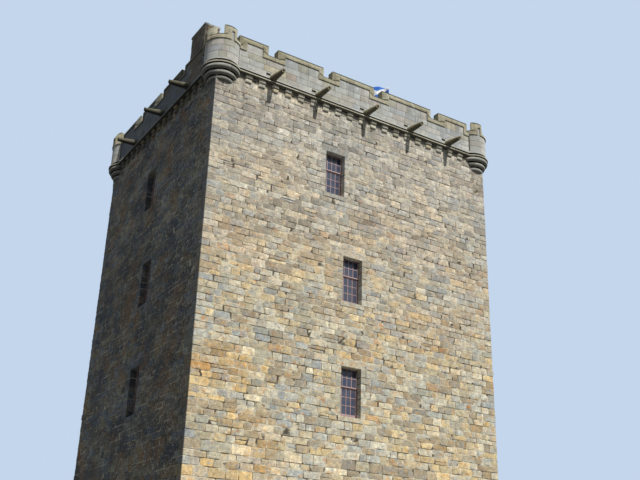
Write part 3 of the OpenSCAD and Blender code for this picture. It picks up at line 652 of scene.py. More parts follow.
def cutRun(rng, start, end, cuts, oldJoints):   # joints along a run, clear of those of the course below
    joints = [start]
    while end - joints[-1] > cuts["longest"]:
        spot = joints[-1] + rng.uniform(cuts["shortest"], cuts["longest"])
        if any(abs(spot - old) < joining["clear"] for old in oldJoints):
            spot += rng.choice((-joining["moved"], joining["moved"]))
        if end - spot < cuts["shortest"] * joining["least"]:
            spot = (joints[-1] + end) / 2
        joints.append(spot)
    return joints + [end]


def freeRuns(start, end, taken):   # what is left of a run between the taken stretches
    runs = []
    for a, b in sorted(taken):
        if b <= start or a >= end:
            continue
        if a - start > joining["narrowest"]:
            runs.append((start, a))
        start = max(start, b)
    if end - start > joining["narrowest"]:
        runs.append((start, end))
    return runs


toning = {   # a drift has its fineness across and up, and a seed
    "drift": (0.42, 0.60, 3.0), "region": (0.16, 0.20, 9.0), "shades": (0.8, 1.1, 17.0), "warmTo": 4,
    "coolBy": 16, "foot": 0.22, "head": 0.12, "regions": 0.35, "middle": 0.42, "width": 0.32,
    "others": 0.25, "swing": 0.9, "shade": 0.55, "shading": 0.30, "chance": 0.13, "dressed": (2, 3),
    "dressedShade": 0.50, "dressedChance": 0.06, "plainShade": 0.5, "plainChance": 0.14,
}


def capped(value):
    return min(1.0, max(0.0, value))


def drift(kind, s, z):
    across, up, seed = toning[kind]
    return noise.noise(Vector((s * across, z * up, seed)))


def pickTone(rng, kind, warmth, turn):   # one of the tones, warmer or greyer by where the stone lies
    count = len(tones[kind])
    weights = []
    for i, (colour, often) in enumerate(tones[kind]):
        lean = math.exp(-((i / (count - 1) - toning["middle"] - warmth) / toning["width"]) ** 2)
        wave = 1 + toning["swing"] * math.sin(i * 2.4 + turn * 9)
        weights.append(often * (toning["others"] + lean) * wave)
    return (rng.choices(range(count), weights)[0] + 0.5) / count


def stoneFacts(rng, s, z, dressed=0.0, kind="wall"):   # tone, shade, dressed or not, and a number of its own
    low = 1 - capped((z - toning["warmTo"]) / toning["coolBy"])
    warmth = toning["foot"] * low - toning["head"] + toning["regions"] * drift("region", s, z)
    pick = pickTone(rng, kind, warmth, drift("drift", s, z))
    shade = toning["shade"] + toning["shading"] * drift("shades", s, z) + rng.gauss(0, toning["chance"])
    if dressed:
        pick = (rng.choice(toning["dressed"]) + 0.5) / len(tones[kind])
        shade = toning["dressedShade"] + rng.gauss(0, toning["dressedChance"])
    return (capped(pick), capped(shade), dressed, rng.random())


# Walls

windowSizes = {   # the spots are the middle and the foot of each window
    "w": 0.92, "h": 1.90, "reveal": 0.26, "lintel": 0.30, "sill": 0.18, "sillOut": 0.02, "sillReach": 0.10,
    "spots": ([(-1.245, 16.0), (-0.33, 11.57), (-0.33, 7.14)], [(-0.295, 16.0), (0.30, 11.57), (0.30, 7.14)]),
}
slitSizes = {"w": 0.16, "z": 2.20, "h": 0.90, "reveal": 0.30, "lintel": 0.25}
doorSizes = {
    "w": 1.30, "h": 2.50, "u": -2.60, "foot": 0.15, "reveal": 0.26, "archWidth": 0.30, "courses": 8,
    "wedges": 11,
}
coursing = {
    "seed": 11, "height": 0.27, "change": 0.16, "shortest": 0.28, "longest": 0.74, "bed": 0.007,
    "joint": 0.003, "uneven": (0.0, 2.0), "edge": 0.012, "step": 0.17, "rise": (0.004, 0.013),
    "proud": 0.06, "proudBy": 0.014, "rough": 0.009, "dressedRise": 0.008, "dressedRough": 0.004,
    "quoins": (0.36, 0.68), "jambs": (0.22, 0.42), "bearing": 0.20, "halved": 0.05, "halves": (0.4, 0.6),
    "roughs": (0.4, 1.2), "legs": (0.85, 1.1),
}


def courseLines():   # the beds of the courses, so that sills, heads and lintels lie on one
    rng = random.Random(coursing["seed"])
    slitHead = slitSizes["z"] + slitSizes["h"]
    fixed = [0.0, slitSizes["z"], slitHead, slitHead + slitSizes["lintel"], tower["head"]]
    for u, z in windowSizes["spots"][0]:
        head = z + windowSizes["h"]
        fixed += [z - windowSizes["sill"], z, head, head + windowSizes["lintel"]]
    lines = []
    for a, b in pairs(sorted(fixed)):
        count = max(1, round((b - a) / coursing["height"]))
        for i in range(count):
            shift = 0.0 if i == 0 else rng.uniform(-1, 1) * coursing["change"] * (b - a) / count
            lines.append(a + (b - a) * i / count + shift)
    return lines + [tower["head"]]


def jambPlace(side, edgeU, into):   # turns from the wall face into the reveal at 0
    def place(t, z, out):
        if abs(t) < 1e-6:
            return sidePoint(side, edgeU + into * out, z, out)
        if t * into < 0:
            return sidePoint(side, edgeU + t, z, out)
        return sidePoint(side, edgeU + into * out, z, -abs(t))
    return place


def foldPlace(side, edge, up, proud):   # turns into the reveal under a lintel, or with up -1 over a sill
    def place(u, z, out):
        over = (z - edge) * up
        if over > 1e-6:
            return sidePoint(side, u, z, out + proud)
        return sidePoint(side, u, edge - up * out, out + proud if over > -1e-6 else over)
    return place


def layJambs(stone, side, u, half, legs, reveal, z0, z1, key):
    for into, leg in zip((1, -1), legs):
        s0, s1 = (-leg, reveal) if into > 0 else (-reveal, leg)
        stone(side, s0, s1, z0, z1, 1.0, jambPlace(side, u - into * half, into), arris=0.0, key=key)


def layOpening(stone, side, middle, opening, course, z0, z1):   # says which stretches it takes up
    u, foot, w, h, reveal = opening
    head, half = foot + h, w / 2
    a, b = middle + u - half, middle + u + half
    window = w == windowSizes["w"]
    lintel = windowSizes["lintel"] if window else slitSizes["lintel"]
    if z0 > foot - 1e-4 and z1 < head + 1e-4:
        legs = coursing["jambs"] if course % 2 else coursing["jambs"][::-1]
        layJambs(stone, side, u, half, legs, reveal, z0, z1, a)
        return [(a - legs[0], b + legs[1])]
    if z0 > head - 1e-4 and z1 < head + lintel + 1e-4:
        leg, low, high, fold = coursing["bearing"], head - reveal, z1, (head, 1, 0.0)
    elif window and z1 < foot + 1e-4 and z0 > foot - windowSizes["sill"] - 1e-4:
        leg, low, high, fold = windowSizes["sillReach"], z0, foot + reveal, (foot, -1, windowSizes["sillOut"])
    else:
        return []
    place = foldPlace(side, *fold)
    stone(side, u - half - leg, u + half + leg, low, high, 1.0, place, arrisRow=fold[0], key=a)
    return [(a - leg, b + leg)]


def doorHalfWidth(z):   # half the width that the doorway and its dressed stones take at a height
    spring = doorSizes["h"] - doorSizes["w"] / 2
    outer = doorSizes["w"] / 2 + doorSizes["archWidth"]
    if z < spring:
        return outer
    return math.sqrt(outer ** 2 - (z - spring) ** 2) if z < spring + outer else 0.0


def layDoorway(stone):
    half, reveal, leg = doorSizes["w"] / 2, doorSizes["reveal"], doorSizes["archWidth"]
    spring = doorSizes["h"] - half
    for i, (z0, z1) in enumerate(pairs(evenLines(0.0, spring, doorSizes["courses"]))):
        layJambs(stone, "back", doorSizes["u"], half, (leg, leg), reveal, z0, z1, i)

    def archPlace(s, r, out):   # s is the distance round the arch, r the distance from its middle
        turn = math.pi - s / half
        reach = max(r, half) - (out if r < half + 1e-6 else 0.0)
        u = doorSizes["u"] + math.cos(turn) * reach
        z = spring + math.sin(turn) * reach
        return sidePoint("back", u, z, out if r > half - 1e-6 else r - half)

    for i, (s0, s1) in enumerate(pairs(evenLines(0.0, math.pi * half, doorSizes["wedges"]))):
        stone("back", s0, s1, half - reveal, half + leg, 1.0, archPlace, arrisRow=half, key=i)


def layWalls():
    rng = random.Random(coursing["seed"] + 1)
    place, starts, lengths = boxRun((0, 0), tower["halfX"], tower["halfY"])
    meshes = {side: newStones() for side in sideTurns}
    gap, bed, edge, step = (coursing[key] for key in ("joint", "bed", "edge", "step"))

    def stone(side, s0, s1, z0, z1, dressed=0.0, placing=place, arris=None, arrisRow=None, key=None):
        facts = stoneFacts(rng, (s0 + s1) / 2 if key is None else key, z0, dressed)
        rise = coursing["dressedRise"] if dressed else rng.uniform(*coursing["rise"])
        if not dressed and rng.random() < coursing["proud"]:
            rise += coursing["proudBy"]
        rough = coursing["dressedRough"] if dressed else coursing["rough"] * rng.uniform(*coursing["roughs"])
        left, right, low, high = (rng.uniform(*coursing["uneven"]) for i in range(4))
        columns = gradedLine(s0 + gap * left, s1 - gap * right, edge, step, arris)
        rows = gradedLine(z0 + bed * low, z1 - bed * high, edge, step, arrisRow)
        layStone(meshes[side], placing, columns, rows, rise, rough, facts)

    oldJoints = []
    for course, (z0, z1) in enumerate(pairs(courseLines())):
        quoins = []
        for side, k in sideTurns.items():
            legs = coursing["quoins"] if (course + k) % 2 else coursing["quoins"][::-1]
            before, after = (leg * rng.uniform(*coursing["legs"]) for leg in legs)
            quoins.append((before, after))
            stone(side, starts[k] - before, starts[k] + after, z0, z1, arris=starts[k])
        joints = []
        for side, k in sideTurns.items():
            middle = starts[k] + lengths[k] / 2
            openings = [(u, z, windowSizes["w"], windowSizes["h"], windowSizes["reveal"])
                        for u, z in ofSide(side, windowSizes["spots"])]
            openings.append((openings[2][0], *(slitSizes[key] for key in ("z", "w", "h", "reveal"))))
            taken = []
            for opening in openings:
                taken += layOpening(stone, side, middle, opening, course, z0, z1)
            half = doorHalfWidth((z0 + z1) / 2)
            if side == "back" and half:
                taken.append((middle + doorSizes["u"] - half, middle + doorSizes["u"] + half))
            start = starts[k] + quoins[k][1]
            end = starts[k] + lengths[k] - quoins[(k + 1) % 4][0]
            for run in freeRuns(start, end, taken):
                cuts = cutRun(rng, *run, coursing, oldJoints)
                joints += cuts
                for s0, s1 in pairs(cuts):
                    beds = [z0, z1]
                    if rng.random() < coursing["halved"]:
                        beds.insert(1, z0 + (z1 - z0) * rng.uniform(*coursing["halves"]))
                    for low, high in pairs(beds):
                        stone(side, s0, s1, low, high)
        oldJoints = joints
    layDoorway(stone)
    return meshes


for side, bm in layWalls().items():
    # the left wall gets the darker finish: partly damp, partly painted shade
    makePiece(side + "_stones", bm, finish["moistShadeStone" if side == "left" else "wallStone"])
    dress(finish["limeMortar"], side + "_wall")
print("the walls are laid")

# Parapets, rounds, stack and garret: squared blocks with thin joints

ashlarCuts = {
    "seed": 31, "shortest": 0.42, "longest": 0.86, "joint": 0.003, "edge": 0.006, "step": 0.3, "rough": 0.002,
    "rise": (0.005, 0.008), "sunk": 0.002, "rows": 3,
}
roundCuts = {**ashlarCuts, "shortest": 0.30, "longest": 0.56, "step": 0.07}
stackCuts = {**ashlarCuts, "shortest": 0.28, "longest": 0.60}
garretCuts = {**ashlarCuts, "shortest": 0.28, "longest": 0.62, "joint": 0.006, "edge": 0.012, "rough": 0.008}
battlement = {   # pairs are for the long sides and the short ones; drain: way from the spout, w, h and z
    "foot": 20.245, "frameZ": 21.06, "coreZ": 21.45, "face": 0.12, "inner": 0.28, "frameSide": 0.30,
    "gap": 0.44, "sillZ": 21.345, "below": 20.5, "top": 22.0,
    "gaps": ([-4.42, -1.745, 0.86, 4.04], [-2.41, -0.05, 2.20]),
    "spouts": ([-4.42, -2.26, 0.17, 2.53, 4.67], [-2.56, 0.57, 3.15]), "drain": (0.21, 0.19, 0.08, 20.335),
}
rounds = {   # angles are in degrees from the diagonal of the corner
    "x": 6.49, "y": 5.14, "radius": 0.70, "join": 0.5095, "up": 0.09, "reach": 88.0, "gap": 20.0,
    "merlon": 61.0, "core": 5.2, "cope": 100,
}
corners = {   # the middle of each round, and the way its diagonal points
    "near_left": (-rounds["x"], -rounds["y"], 225),
    "near_right": (rounds["x"], -rounds["y"], 315),
    "far_right": (rounds["x"], rounds["y"], 45),
    "far_left": (-rounds["x"], rounds["y"], 135),
}
stack = {
    "x": -6.65, "y": -3.635, "halfX": 0.32, "halfY": 0.635, "foot": 20.29, "head": 22.645, "courses": 9,
    "bond": 0.16,
}
garret = {
    "halfX": 5.35, "halfY": 4.0, "foot": 20.18, "eaves": 20.78, "pitch": 38.0, "roofHalfX": 4.85,
    "rake": 21.331, "courses": 17, "narrowest": 0.15, "underRidge": 0.1,
    "door": [(-0.38, 0.38, 20.30, 22.05)],
}
walk = {"top": 20.18, "outX": 6.57, "outY": 5.22, "stackX": -7.0, "seed": 41}


def shortOf(rect, holes):   # a stone's rectangle with the holes cut out of it, as smaller rectangles
    s0, s1, z0, z1 = rect
    for a, b, low, high in holes:
        if a < s1 - 1e-4 and b > s0 + 1e-4 and low < z1 - 1e-4 and high > z0 + 1e-4:
            left, right = max(s0, a), min(s1, b)
            parts = [(s0, a, z0, z1), (b, s1, z0, z1), (left, right, z0, low), (left, right, high, z1)]
            parts = [p for p in parts if min(p[1] - p[0], p[3] - p[2]) > joining["sliver"]]
            return [r for p in parts for r in shortOf(p, holes)]
    return [rect]


def layPanel(bm, rng, place, run, lines, kind, cuts, holes=(), arrises=()):
    gap, edge, step = cuts["joint"], cuts["edge"], cuts["step"]
    joints = []
    for z0, z1 in pairs(lines):
        joints = cutRun(rng, *run, cuts, joints)
        for a, b in pairs(joints):
            for s0, s1, low, high in shortOf((a, b, z0, z1), holes):
                facts = stoneFacts(rng, a, z0, 0.0, kind)
                least, most = s0 + joining["arris"], s1 - joining["arris"]
                arris = next((x for x in arrises if least < x < most), None)
                columns = gradedLine(s0 + gap, s1 - gap, edge, step, arris)
                rows = gradedLine(low + gap, high - gap, edge, step)
                rise = rng.uniform(*cuts["rise"])
                layStone(bm, place, columns, rows, rise, cuts["rough"], facts, cuts["sunk"])


def sideLimits(side):   # where the straight run of a side's parapet ends, and the middles of its gaps
    return ofSide(side, (rounds["x"], rounds["y"])) - rounds["join"], ofSide(side, battlement["gaps"])


def merlonCores(side):   # the plain stones of each merlon, between the uprights of the frame
    end, gaps = sideLimits(side)
    half = battlement["gap"] / 2
    starts = [-end] + [g + half for g in gaps]
    ends = [g - half for g in gaps] + [end]
    return [(a + battlement["frameSide"], b - battlement["frameSide"]) for a, b in zip(starts, ends)]


def layParapets():
    rng = random.Random(ashlarCuts["seed"])
    foot, frameZ, coreZ = battlement["foot"], battlement["frameZ"], battlement["coreZ"]
    off, w, h, z = battlement["drain"]
    lines = evenLines(foot, frameZ, ashlarCuts["rows"], rng)
    for side in sideTurns:
        bm = newStones()
        end = sideLimits(side)[0]
        holes = [(u - off - w / 2, u - off + w / 2, z, z + h) for u in ofSide(side, battlement["spouts"])]
        if side == "left":
            a, b = (-stack["y"] + s * stack["halfY"] for s in (-1, 1))
            holes.append((a, b, tower["head"], stack["head"]))
        mirrored = [(-b, -a, low, high) for a, b, low, high in holes]
        kind, material = "ashlar", "ashlarStone"
        # the left parapet gets the darker tones: partly damp, partly painted shade
        if side == "left":
            kind = material = "moistShadeAshlar"
        face, back = facePlace(side, battlement["face"]), facePlace(side, battlement["inner"], -1)
        layPanel(bm, rng, face, (-end, end), lines, kind, ashlarCuts, holes)
        inside = evenLines(walk["top"] + 0.01, frameZ, ashlarCuts["rows"], rng)
        layPanel(bm, rng, back, (-end, end), inside, kind, ashlarCuts, mirrored)
        for a, b in merlonCores(side):
            layPanel(bm, rng, face, (a, b), (frameZ, coreZ), kind, ashlarCuts, holes)
            layPanel(bm, rng, back, (-b, -a), (frameZ, coreZ), kind, ashlarCuts, mirrored)
        makePiece(side + "_parapet_stones", bm, finish[material])

    radius, up = rounds["radius"], rounds["up"]
    turret = evenLines(foot, frameZ + up, ashlarCuts["rows"], rng)
    for corner, (cx, cy, diagonal) in corners.items():
        bm = newStones()
        merlon = rounds["gap"] + rounds["merlon"] / 2
        panels = [(diagonal, rounds["reach"], turret, "ashlar")]
        core = (rounds["core"], (frameZ + up, coreZ + up), "core")
        panels += [(diagonal + s * merlon, *core) for s in (-1, 1)]
        for turn, half, beds, kind in panels:
            arc = [math.radians(turn + d) * radius for d in (-half, half)]
            layPanel(bm, rng, roundPlace(cx, cy, radius), arc, beds, kind, roundCuts)
        makePiece(corner + "_round_stones", bm, finish["ashlarStone"])


def layStack():
    rng = random.Random(ashlarCuts["seed"] + 1)
    bm = newStones()
    place, starts, lengths = boxRun((stack["x"], stack["y"]), stack["halfX"], stack["halfY"])
    total = sum(lengths)
    for i, beds in enumerate(pairs(evenLines(stack["foot"], stack["head"], stack["courses"], rng))):
        shift = stack["bond"] if i % 2 else 0.0
        layPanel(bm, rng, place, (shift, shift + total), beds, "stack", stackCuts, (), starts + [total])
    makePiece("stack_stones", bm, finish["stackStone"])


def layGarret():
    rng = random.Random(ashlarCuts["seed"] + 2)
    bm = newStones()
    slope = math.tan(math.radians(garret["pitch"]))
    for side in ("front", "back"):
        face = facePlace(side, garret["halfY"] - halfDepth(side))
        run = (-garret["roofHalfX"], garret["roofHalfX"])
        layPanel(bm, rng, face, run, evenLines(garret["foot"], garret["eaves"], 2), "wall", garretCuts)
    for side in ("left", "right"):
        face = facePlace(side, garret["halfX"] - halfDepth(side))
        top = garret["rake"] + garret["halfY"] * slope - garret["underRidge"]
        for beds in pairs(evenLines(garret["foot"], top, garret["courses"], rng)):
            reach = garret["halfY"] - max(0.0, beds[1] - garret["rake"]) / slope
            if reach > garret["narrowest"]:
                holes = garret["door"] if side == "right" else ()
                layPanel(bm, rng, face, (-reach, reach), beds, "wall", garretCuts, holes)
    makePiece("garret_stones", bm, finish["garretStone"])


layParapets()
layStack()
layGarret()
print("the battlement, stack and garret are laid")

# Moulded stones: the CAD forms sawn into blocks, with a joint between them and a tone for each

sawing = {
    "joint": 0.003, "seed": 71, "cope": 0.70, "fillet": 0.90, "sillReach": 0.52, "rollStones": 5,
    "rollReach": 160.0, "rollFoot": 19.37, "rollHeight": 0.21, "rolls": 3, "rollBond": 20, "rollShort": 40,
    "rollFar": 3, "filletTurns": (-100, -50, 0, 50, 100),
}


def keepBlock(source, planes):   # what of a mesh lies behind all the planes, closed where it is cut
    block = source.copy()
    for point, outward in planes:
        geom = block.verts[:] + block.edges[:] + block.faces[:]
        bmesh.ops.bisect_plane(
            block, geom=geom, dist=1e-5, plane_co=point, plane_no=outward, clear_outer=True)
        bmesh.ops.holes_fill(block, edges=[e for e in block.edges if e.is_boundary], sides=0)
    return block


def between(point, way, low, high):   # the two planes that keep what lies from low to high along a way
    gap = sawing["joint"]
    return [(point + way * (low + gap), -way), (point + way * (high - gap), way)]


def levels(low, high):
    return between(Vector((0, 0, 0)), Vector((0, 0, 1)), low, high)


def alongSide(side, low, high):
    start = sidePoint(side, 0, 0, 0)
    return between(start, sidePoint(side, 1, 0, 0) - start, low, high)


def wedge(cx, cy, low, high):   # planes that keep what of a round lies between two directions
    planes = []
    for turn, sign in ((low, -1), (high, 1)):
        a = math.radians(turn)
        outward = Vector((-math.sin(a), math.cos(a), 0)) * sign
        planes.append((Vector((cx, cy, 0)) - outward * sawing["joint"], outward))
    return planes


def openNode(node):
    source = bmesh.new()
    source.from_mesh(nodes[node].data)
    bmesh.ops.remove_doubles(source, verts=source.verts, dist=1e-5)
    bmesh.ops.dissolve_limit(source, angle_limit=math.radians(0.3), verts=source.verts, edges=source.edges)
    return source


def addBlock(bm, block, facts):
    mesh = bpy.data.meshes.new("block")
    block.to_mesh(mesh)
    block.free()
    old = len(bm.verts)
    bm.from_mesh(mesh)
    bpy.data.meshes.remove(mesh)
    layer = bm.verts.layers.float_color["stone"]
    bm.verts.ensure_lookup_table()
    for vert in bm.verts[old:]:
        vert[layer] = facts


def plainFacts(rng, kind):
    count = len(tones[kind])
    pick = (rng.choices(range(count), [often for colour, often in tones[kind]])[0] + 0.5) / count
    return (pick, capped(toning["plainShade"] + rng.gauss(0, toning["plainChance"])), 0.0, rng.random())


def sawOff(bm, source, planes, rng, kind):
    addBlock(bm, keepBlock(source, planes), plainFacts(rng, kind))


def evenCuts(low, high, size):
    return pairs(evenLines(low, high, max(1, round((high - low) / size))))


def sawCopes():   # a sill stone in each gap, an upright at each side of it, and rails over the merlons
    rng = random.Random(sawing["seed"])
    sill, upright = battlement["sillZ"], battlement["frameSide"]
    for side in sideTurns:
        source = openNode(side + "_cope")
        bm = newStones()
        end, gaps = sideLimits(side)
        low = keepBlock(source, levels(battlement["below"], sill))
        high = keepBlock(source, levels(sill, battlement["top"]))
        sills = [(-end, -end + upright), (end - upright, end)]
        for a, b in sills + [(g - sawing["sillReach"], g + sawing["sillReach"]) for g in gaps]:
            sawOff(bm, low, alongSide(side, a, b), rng, "mossy")
        for a, b in merlonCores(side):
            for s0, s1 in [(a - upright, a), (b, b + upright)] + evenCuts(a, b, sawing["cope"]):
                sawOff(bm, high, alongSide(side, s0, s1), rng, "mossy")
        for part in (source, low, high):
            part.free()
        makePiece(side + "_cope_stones", bm, finish["mossyStone"], side + "_cope")


def sawRoundCopes():
    rng = random.Random(sawing["seed"] + 1)
    source = openNode("round_copes")
    bm = newStones()
    sill, core, end = battlement["sillZ"] + rounds["up"], rounds["core"], rounds["cope"]
    middle = rounds["gap"] + rounds["merlon"] / 2
    lowTurns = [(-middle + core, 0), (0, middle - core), (middle + core, end), (-end, -middle - core)]
    highTurns = [(rounds["gap"] - 1, middle), (middle, end)]
    highTurns += [(-b, -a) for a, b in highTurns]
    zones = [(lowTurns, levels(battlement["below"], sill)), (highTurns, levels(sill, battlement["top"]))]
    for cx, cy, diagonal in corners.values():
        for turns, zone in zones:
            for a, b in turns:
                sawOff(bm, source, zone + wedge(cx, cy, diagonal + a, diagonal + b), rng, "mossy")
    source.free()
    makePiece("round_cope_stones", bm, finish["mossyRound"], "round_copes")


def cornerLimits(cx, cy):   # keeps what lies past the ends of the two straight sides that meet at a corner
    planes = []
    for middle, way in ((cx, Vector((1, 0, 0))), (cy, Vector((0, 1, 0)))):
        inward = -way if middle > 0 else way
        planes.append((Vector((cx, cy, 0)) + inward * rounds["join"], inward))
    return planes


def sawString():
    rng = random.Random(sawing["seed"] + 2)
    source = openNode("string_course")
    bm = newStones()
    for side in sideTurns:
        end = sideLimits(side)[0]
        inner = sidePoint(side, 0, 0, -1)
        strip = keepBlock(source, [(inner, inner - sidePoint(side, 0, 0, 0))])
        for a, b in evenCuts(-end, end, sawing["fillet"]):
            sawOff(bm, strip, alongSide(side, a, b), rng, "fillet")
        strip.free()
    for cx, cy, diagonal in corners.values():
        corner = keepBlock(source, cornerLimits(cx, cy))
        for a, b in pairs(sawing["filletTurns"]):
            sawOff(bm, corner, wedge(cx, cy, diagonal + a, diagonal + b), rng, "fillet")
        corner.free()
    source.free()
    makePiece("string_stones", bm, finish["filletStone"], "string_course")


def sawRolls():
    rng = random.Random(sawing["seed"] + 3)
    source = openNode("round_corbelling")
    bm = newStones()
    reach, joint, height = sawing["rollReach"], sawing["joint"], sawing["rollHeight"]
    for cx, cy, diagonal in corners.values():
        away = Vector((math.copysign(1, cx), math.copysign(1, cy), 0)).normalized()
        corner = keepBlock(source, [(Vector((cx, cy, 0)) - away * sawing["rollFar"], -away)])
        for i in range(sawing["rolls"]):
            z = sawing["rollFoot"] + i * height
            roll = keepBlock(corner, levels(z - joint, z + height + joint))
            shift = sawing["rollBond"] * (i % 2)
            end = reach - sawing["rollShort"] + shift
            for a, b in evenCuts(-reach + shift, end, 2 * reach / sawing["rollStones"]):
                sawOff(bm, roll, wedge(cx, cy, diagonal + a, diagonal + b), rng, "roll")
            roll.free()
        corner.free()
    source.free()
    makePiece("roll_stones", bm, finish["rollStone"], "round_corbelling")


sawCopes()
sawRoundCopes()
sawString()
sawRolls()
print("the moulded stones are sawn")

# Corbels: two tiers each, rounded by the weather

corbelShape = {   # counts: how many stand beside the middle one, on the long sides and the short ones
    "w": 0.28, "tier": 0.165, "outs": (0.125, 0.075), "nose": 0.6, "pitch": 0.606, "counts": (9, 7),
    "cuts": 5, "smooths": 2, "wear": 0.012, "grain": 9.0, "seed": 51, "reach": (0.92, 1.0), "fixedTo": -0.01,
}


def addTier(bm, turn, top, out, rng):
    w, h = corbelShape["w"], corbelShape["tier"]
    tier = bmesh.new()
    bmesh.ops.create_cube(tier, size=1.0)
    bmesh.ops.scale(tier, vec=(w, out, h), verts=tier.verts)
    bmesh.ops.translate(tier, vec=(0, -out / 2, top - h / 2), verts=tier.verts)
    bmesh.ops.subdivide_edges(tier, edges=tier.edges[:], cuts=corbelShape["cuts"], use_grid_fill=True)
    nose = out * corbelShape["nose"]
    for vert in tier.verts:
        over = max(0.0, vert.co.z - (top - h))
        if over < nose:
            vert.co.y *= (out - nose + math.sqrt(nose ** 2 - (nose - over) ** 2)) / out
    loose = [v for v in tier.verts if v.co.y < corbelShape["fixedTo"]]
    for i in range(corbelShape["smooths"]):
        bmesh.ops.smooth_vert(
            tier, verts=loose, factor=0.5, use_axis_x=True, use_axis_y=True, use_axis_z=True)
    seed = Vector((rng.uniform(0, 90), rng.uniform(0, 90), 0))
    for vert in loose:
        vert.co += noise.noise_vector(vert.co * corbelShape["grain"] + seed) * corbelShape["wear"]
    bmesh.ops.transform(tier, matrix=turn, verts=tier.verts)
    addBlock(bm, tier, plainFacts(rng, "corbel"))


def buildCorbels():
    rng = random.Random(corbelShape["seed"])
    noise.seed_set(corbelShape["seed"])   # without it noise_vector would differ in every run
    for side in sideTurns:
        bm = newStones()
        count = ofSide(side, corbelShape["counts"])
        for i in range(-count, count + 1):
            turn = sideFrame(side, i * corbelShape["pitch"], tower["head"])
            for k, out in enumerate(corbelShape["outs"]):
                addTier(bm, turn, -k * corbelShape["tier"], out * rng.uniform(*corbelShape["reach"]), rng)
        # the left corbels get the darker finish: partly damp, partly painted shade
        material = finish["moistShadeCorbel" if side == "left" else "corbelStone"]
        makePiece(side + "_corbel_stones", bm, material, side + "_corbels", 60)


buildCorbels()
print("the corbels are built")

# Walk, floors and roof

floorNames = ("first_floor", "second_floor", "third_floor", "garret_floor")
walkCuts = {
    **ashlarCuts, "shortest": 0.45, "longest": 0.85, "joint": 0.005, "edge": 0.01, "acrossSide": 2,
    "acrossEnd": 13,
}
groundCuts = {
    **ashlarCuts, "shortest": 0.5, "longest": 0.95, "joint": 0.006, "edge": 0.012, "step": 0.5,
    "across": 10,
}
boardCuts = {
    **ashlarCuts, "seed": 43, "shortest": 2.4, "longest": 4.2, "joint": 0.002, "edge": 0.004, "step": 3.0,
    "w": 0.20,
}
slating = {
    "seed": 47, "w": 0.30, "show": 0.20, "eavesY": 4.15, "eavesZ": 21.01, "run": 4.115, "halfX": 4.84,
    "tail": 0.016, "headRise": 0.006, "joint": 0.002, "lap": 0.02, "narrowest": 0.04, "ridgeL": 0.45,
    "ridgeHalf": 0.20, "ridgeRise": 0.022, "ridgeUp": 0.008, "ridgeJoint": 0.003, "ridgeEdge": 0.012,
    "ridgeRough": 0.003, "ridgeSunk": -0.010, "ridgeStep": 0.3, "acrossStep": 0.1, "ridgeZ": 24.0,
    "under": 0.001, "widths": (0.88, 1.12), "tails": (-0.003, 0.004), "feet": (-0.006, 0.006),
}


def layWalk():
    rng = random.Random(walk["seed"])
    bm = newStones()
    gx, gy, ox, oy = garret["halfX"], garret["halfY"], walk["outX"], walk["outY"]
    low, high = (stack["y"] + s * stack["halfY"] for s in (-1, 1))
    stackHole = [(walk["stackX"], stack["x"] + stack["halfX"], low, high)]
    side, end = walkCuts["acrossSide"], walkCuts["acrossEnd"]
    strips = [(-ox, ox, -oy, -gy, side), (-ox, ox, gy, oy, side)]
    strips += [(-ox, -gx, -gy, gy, end), (gx, ox, -gy, gy, end)]
    for x0, x1, y0, y1, count in strips:
        lines = evenLines(y0, y1, count, rng)
        layPanel(bm, rng, flatPlace(walk["top"]), (x0, x1), lines, "paving", walkCuts, stackHole)
    makePiece("walk_flags", bm, finish["pavingStone"])


def layGround():
    rng = random.Random(walk["seed"] + 1)
    bm = newStones()
    low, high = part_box("ground_floor")
    lines = evenLines(low.y, high.y, groundCuts["across"], rng)
    layPanel(bm, rng, flatPlace(high.z), (low.x, high.x), lines, "paving", groundCuts)
    makePiece("ground_flags", bm, finish["pavingStone"])


def layBoards():
    rng = random.Random(boardCuts["seed"])
    for name in floorNames:
        low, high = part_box(name)
        bm = newStones()
        lines = evenLines(low.y, high.y, round((high.y - low.y) / boardCuts["w"]))
        layPanel(bm, rng, flatPlace(high.z), (low.x, high.x), lines, "boards", boardCuts)
        makePiece(name + "_boards", bm, finish["oakBoards"])


def addSlate(bm, place, a, b, t0, show, rng):   # its thin tail stands proud of the row below
    facts = stoneFacts(rng, a, t0, 0.0, "slates")
    tail = slating["tail"] + rng.uniform(*slating["tails"])
    foot = t0 + rng.uniform(*slating["feet"])
    rows = [(foot, slating["under"]), (foot, tail), (t0 + show + slating["lap"], slating["headRise"])]
    made = bmesh.ops.create_grid(bm, x_segments=1, y_segments=2, size=0.5)
    layer = bm.verts.layers.float_color["stone"]
    for index, vert in enumerate(made["verts"]):
        t, out = rows[index // 2]
        vert.co = place((a + slating["joint"], b - slating["joint"])[index % 2], t, out)
        vert[layer] = facts


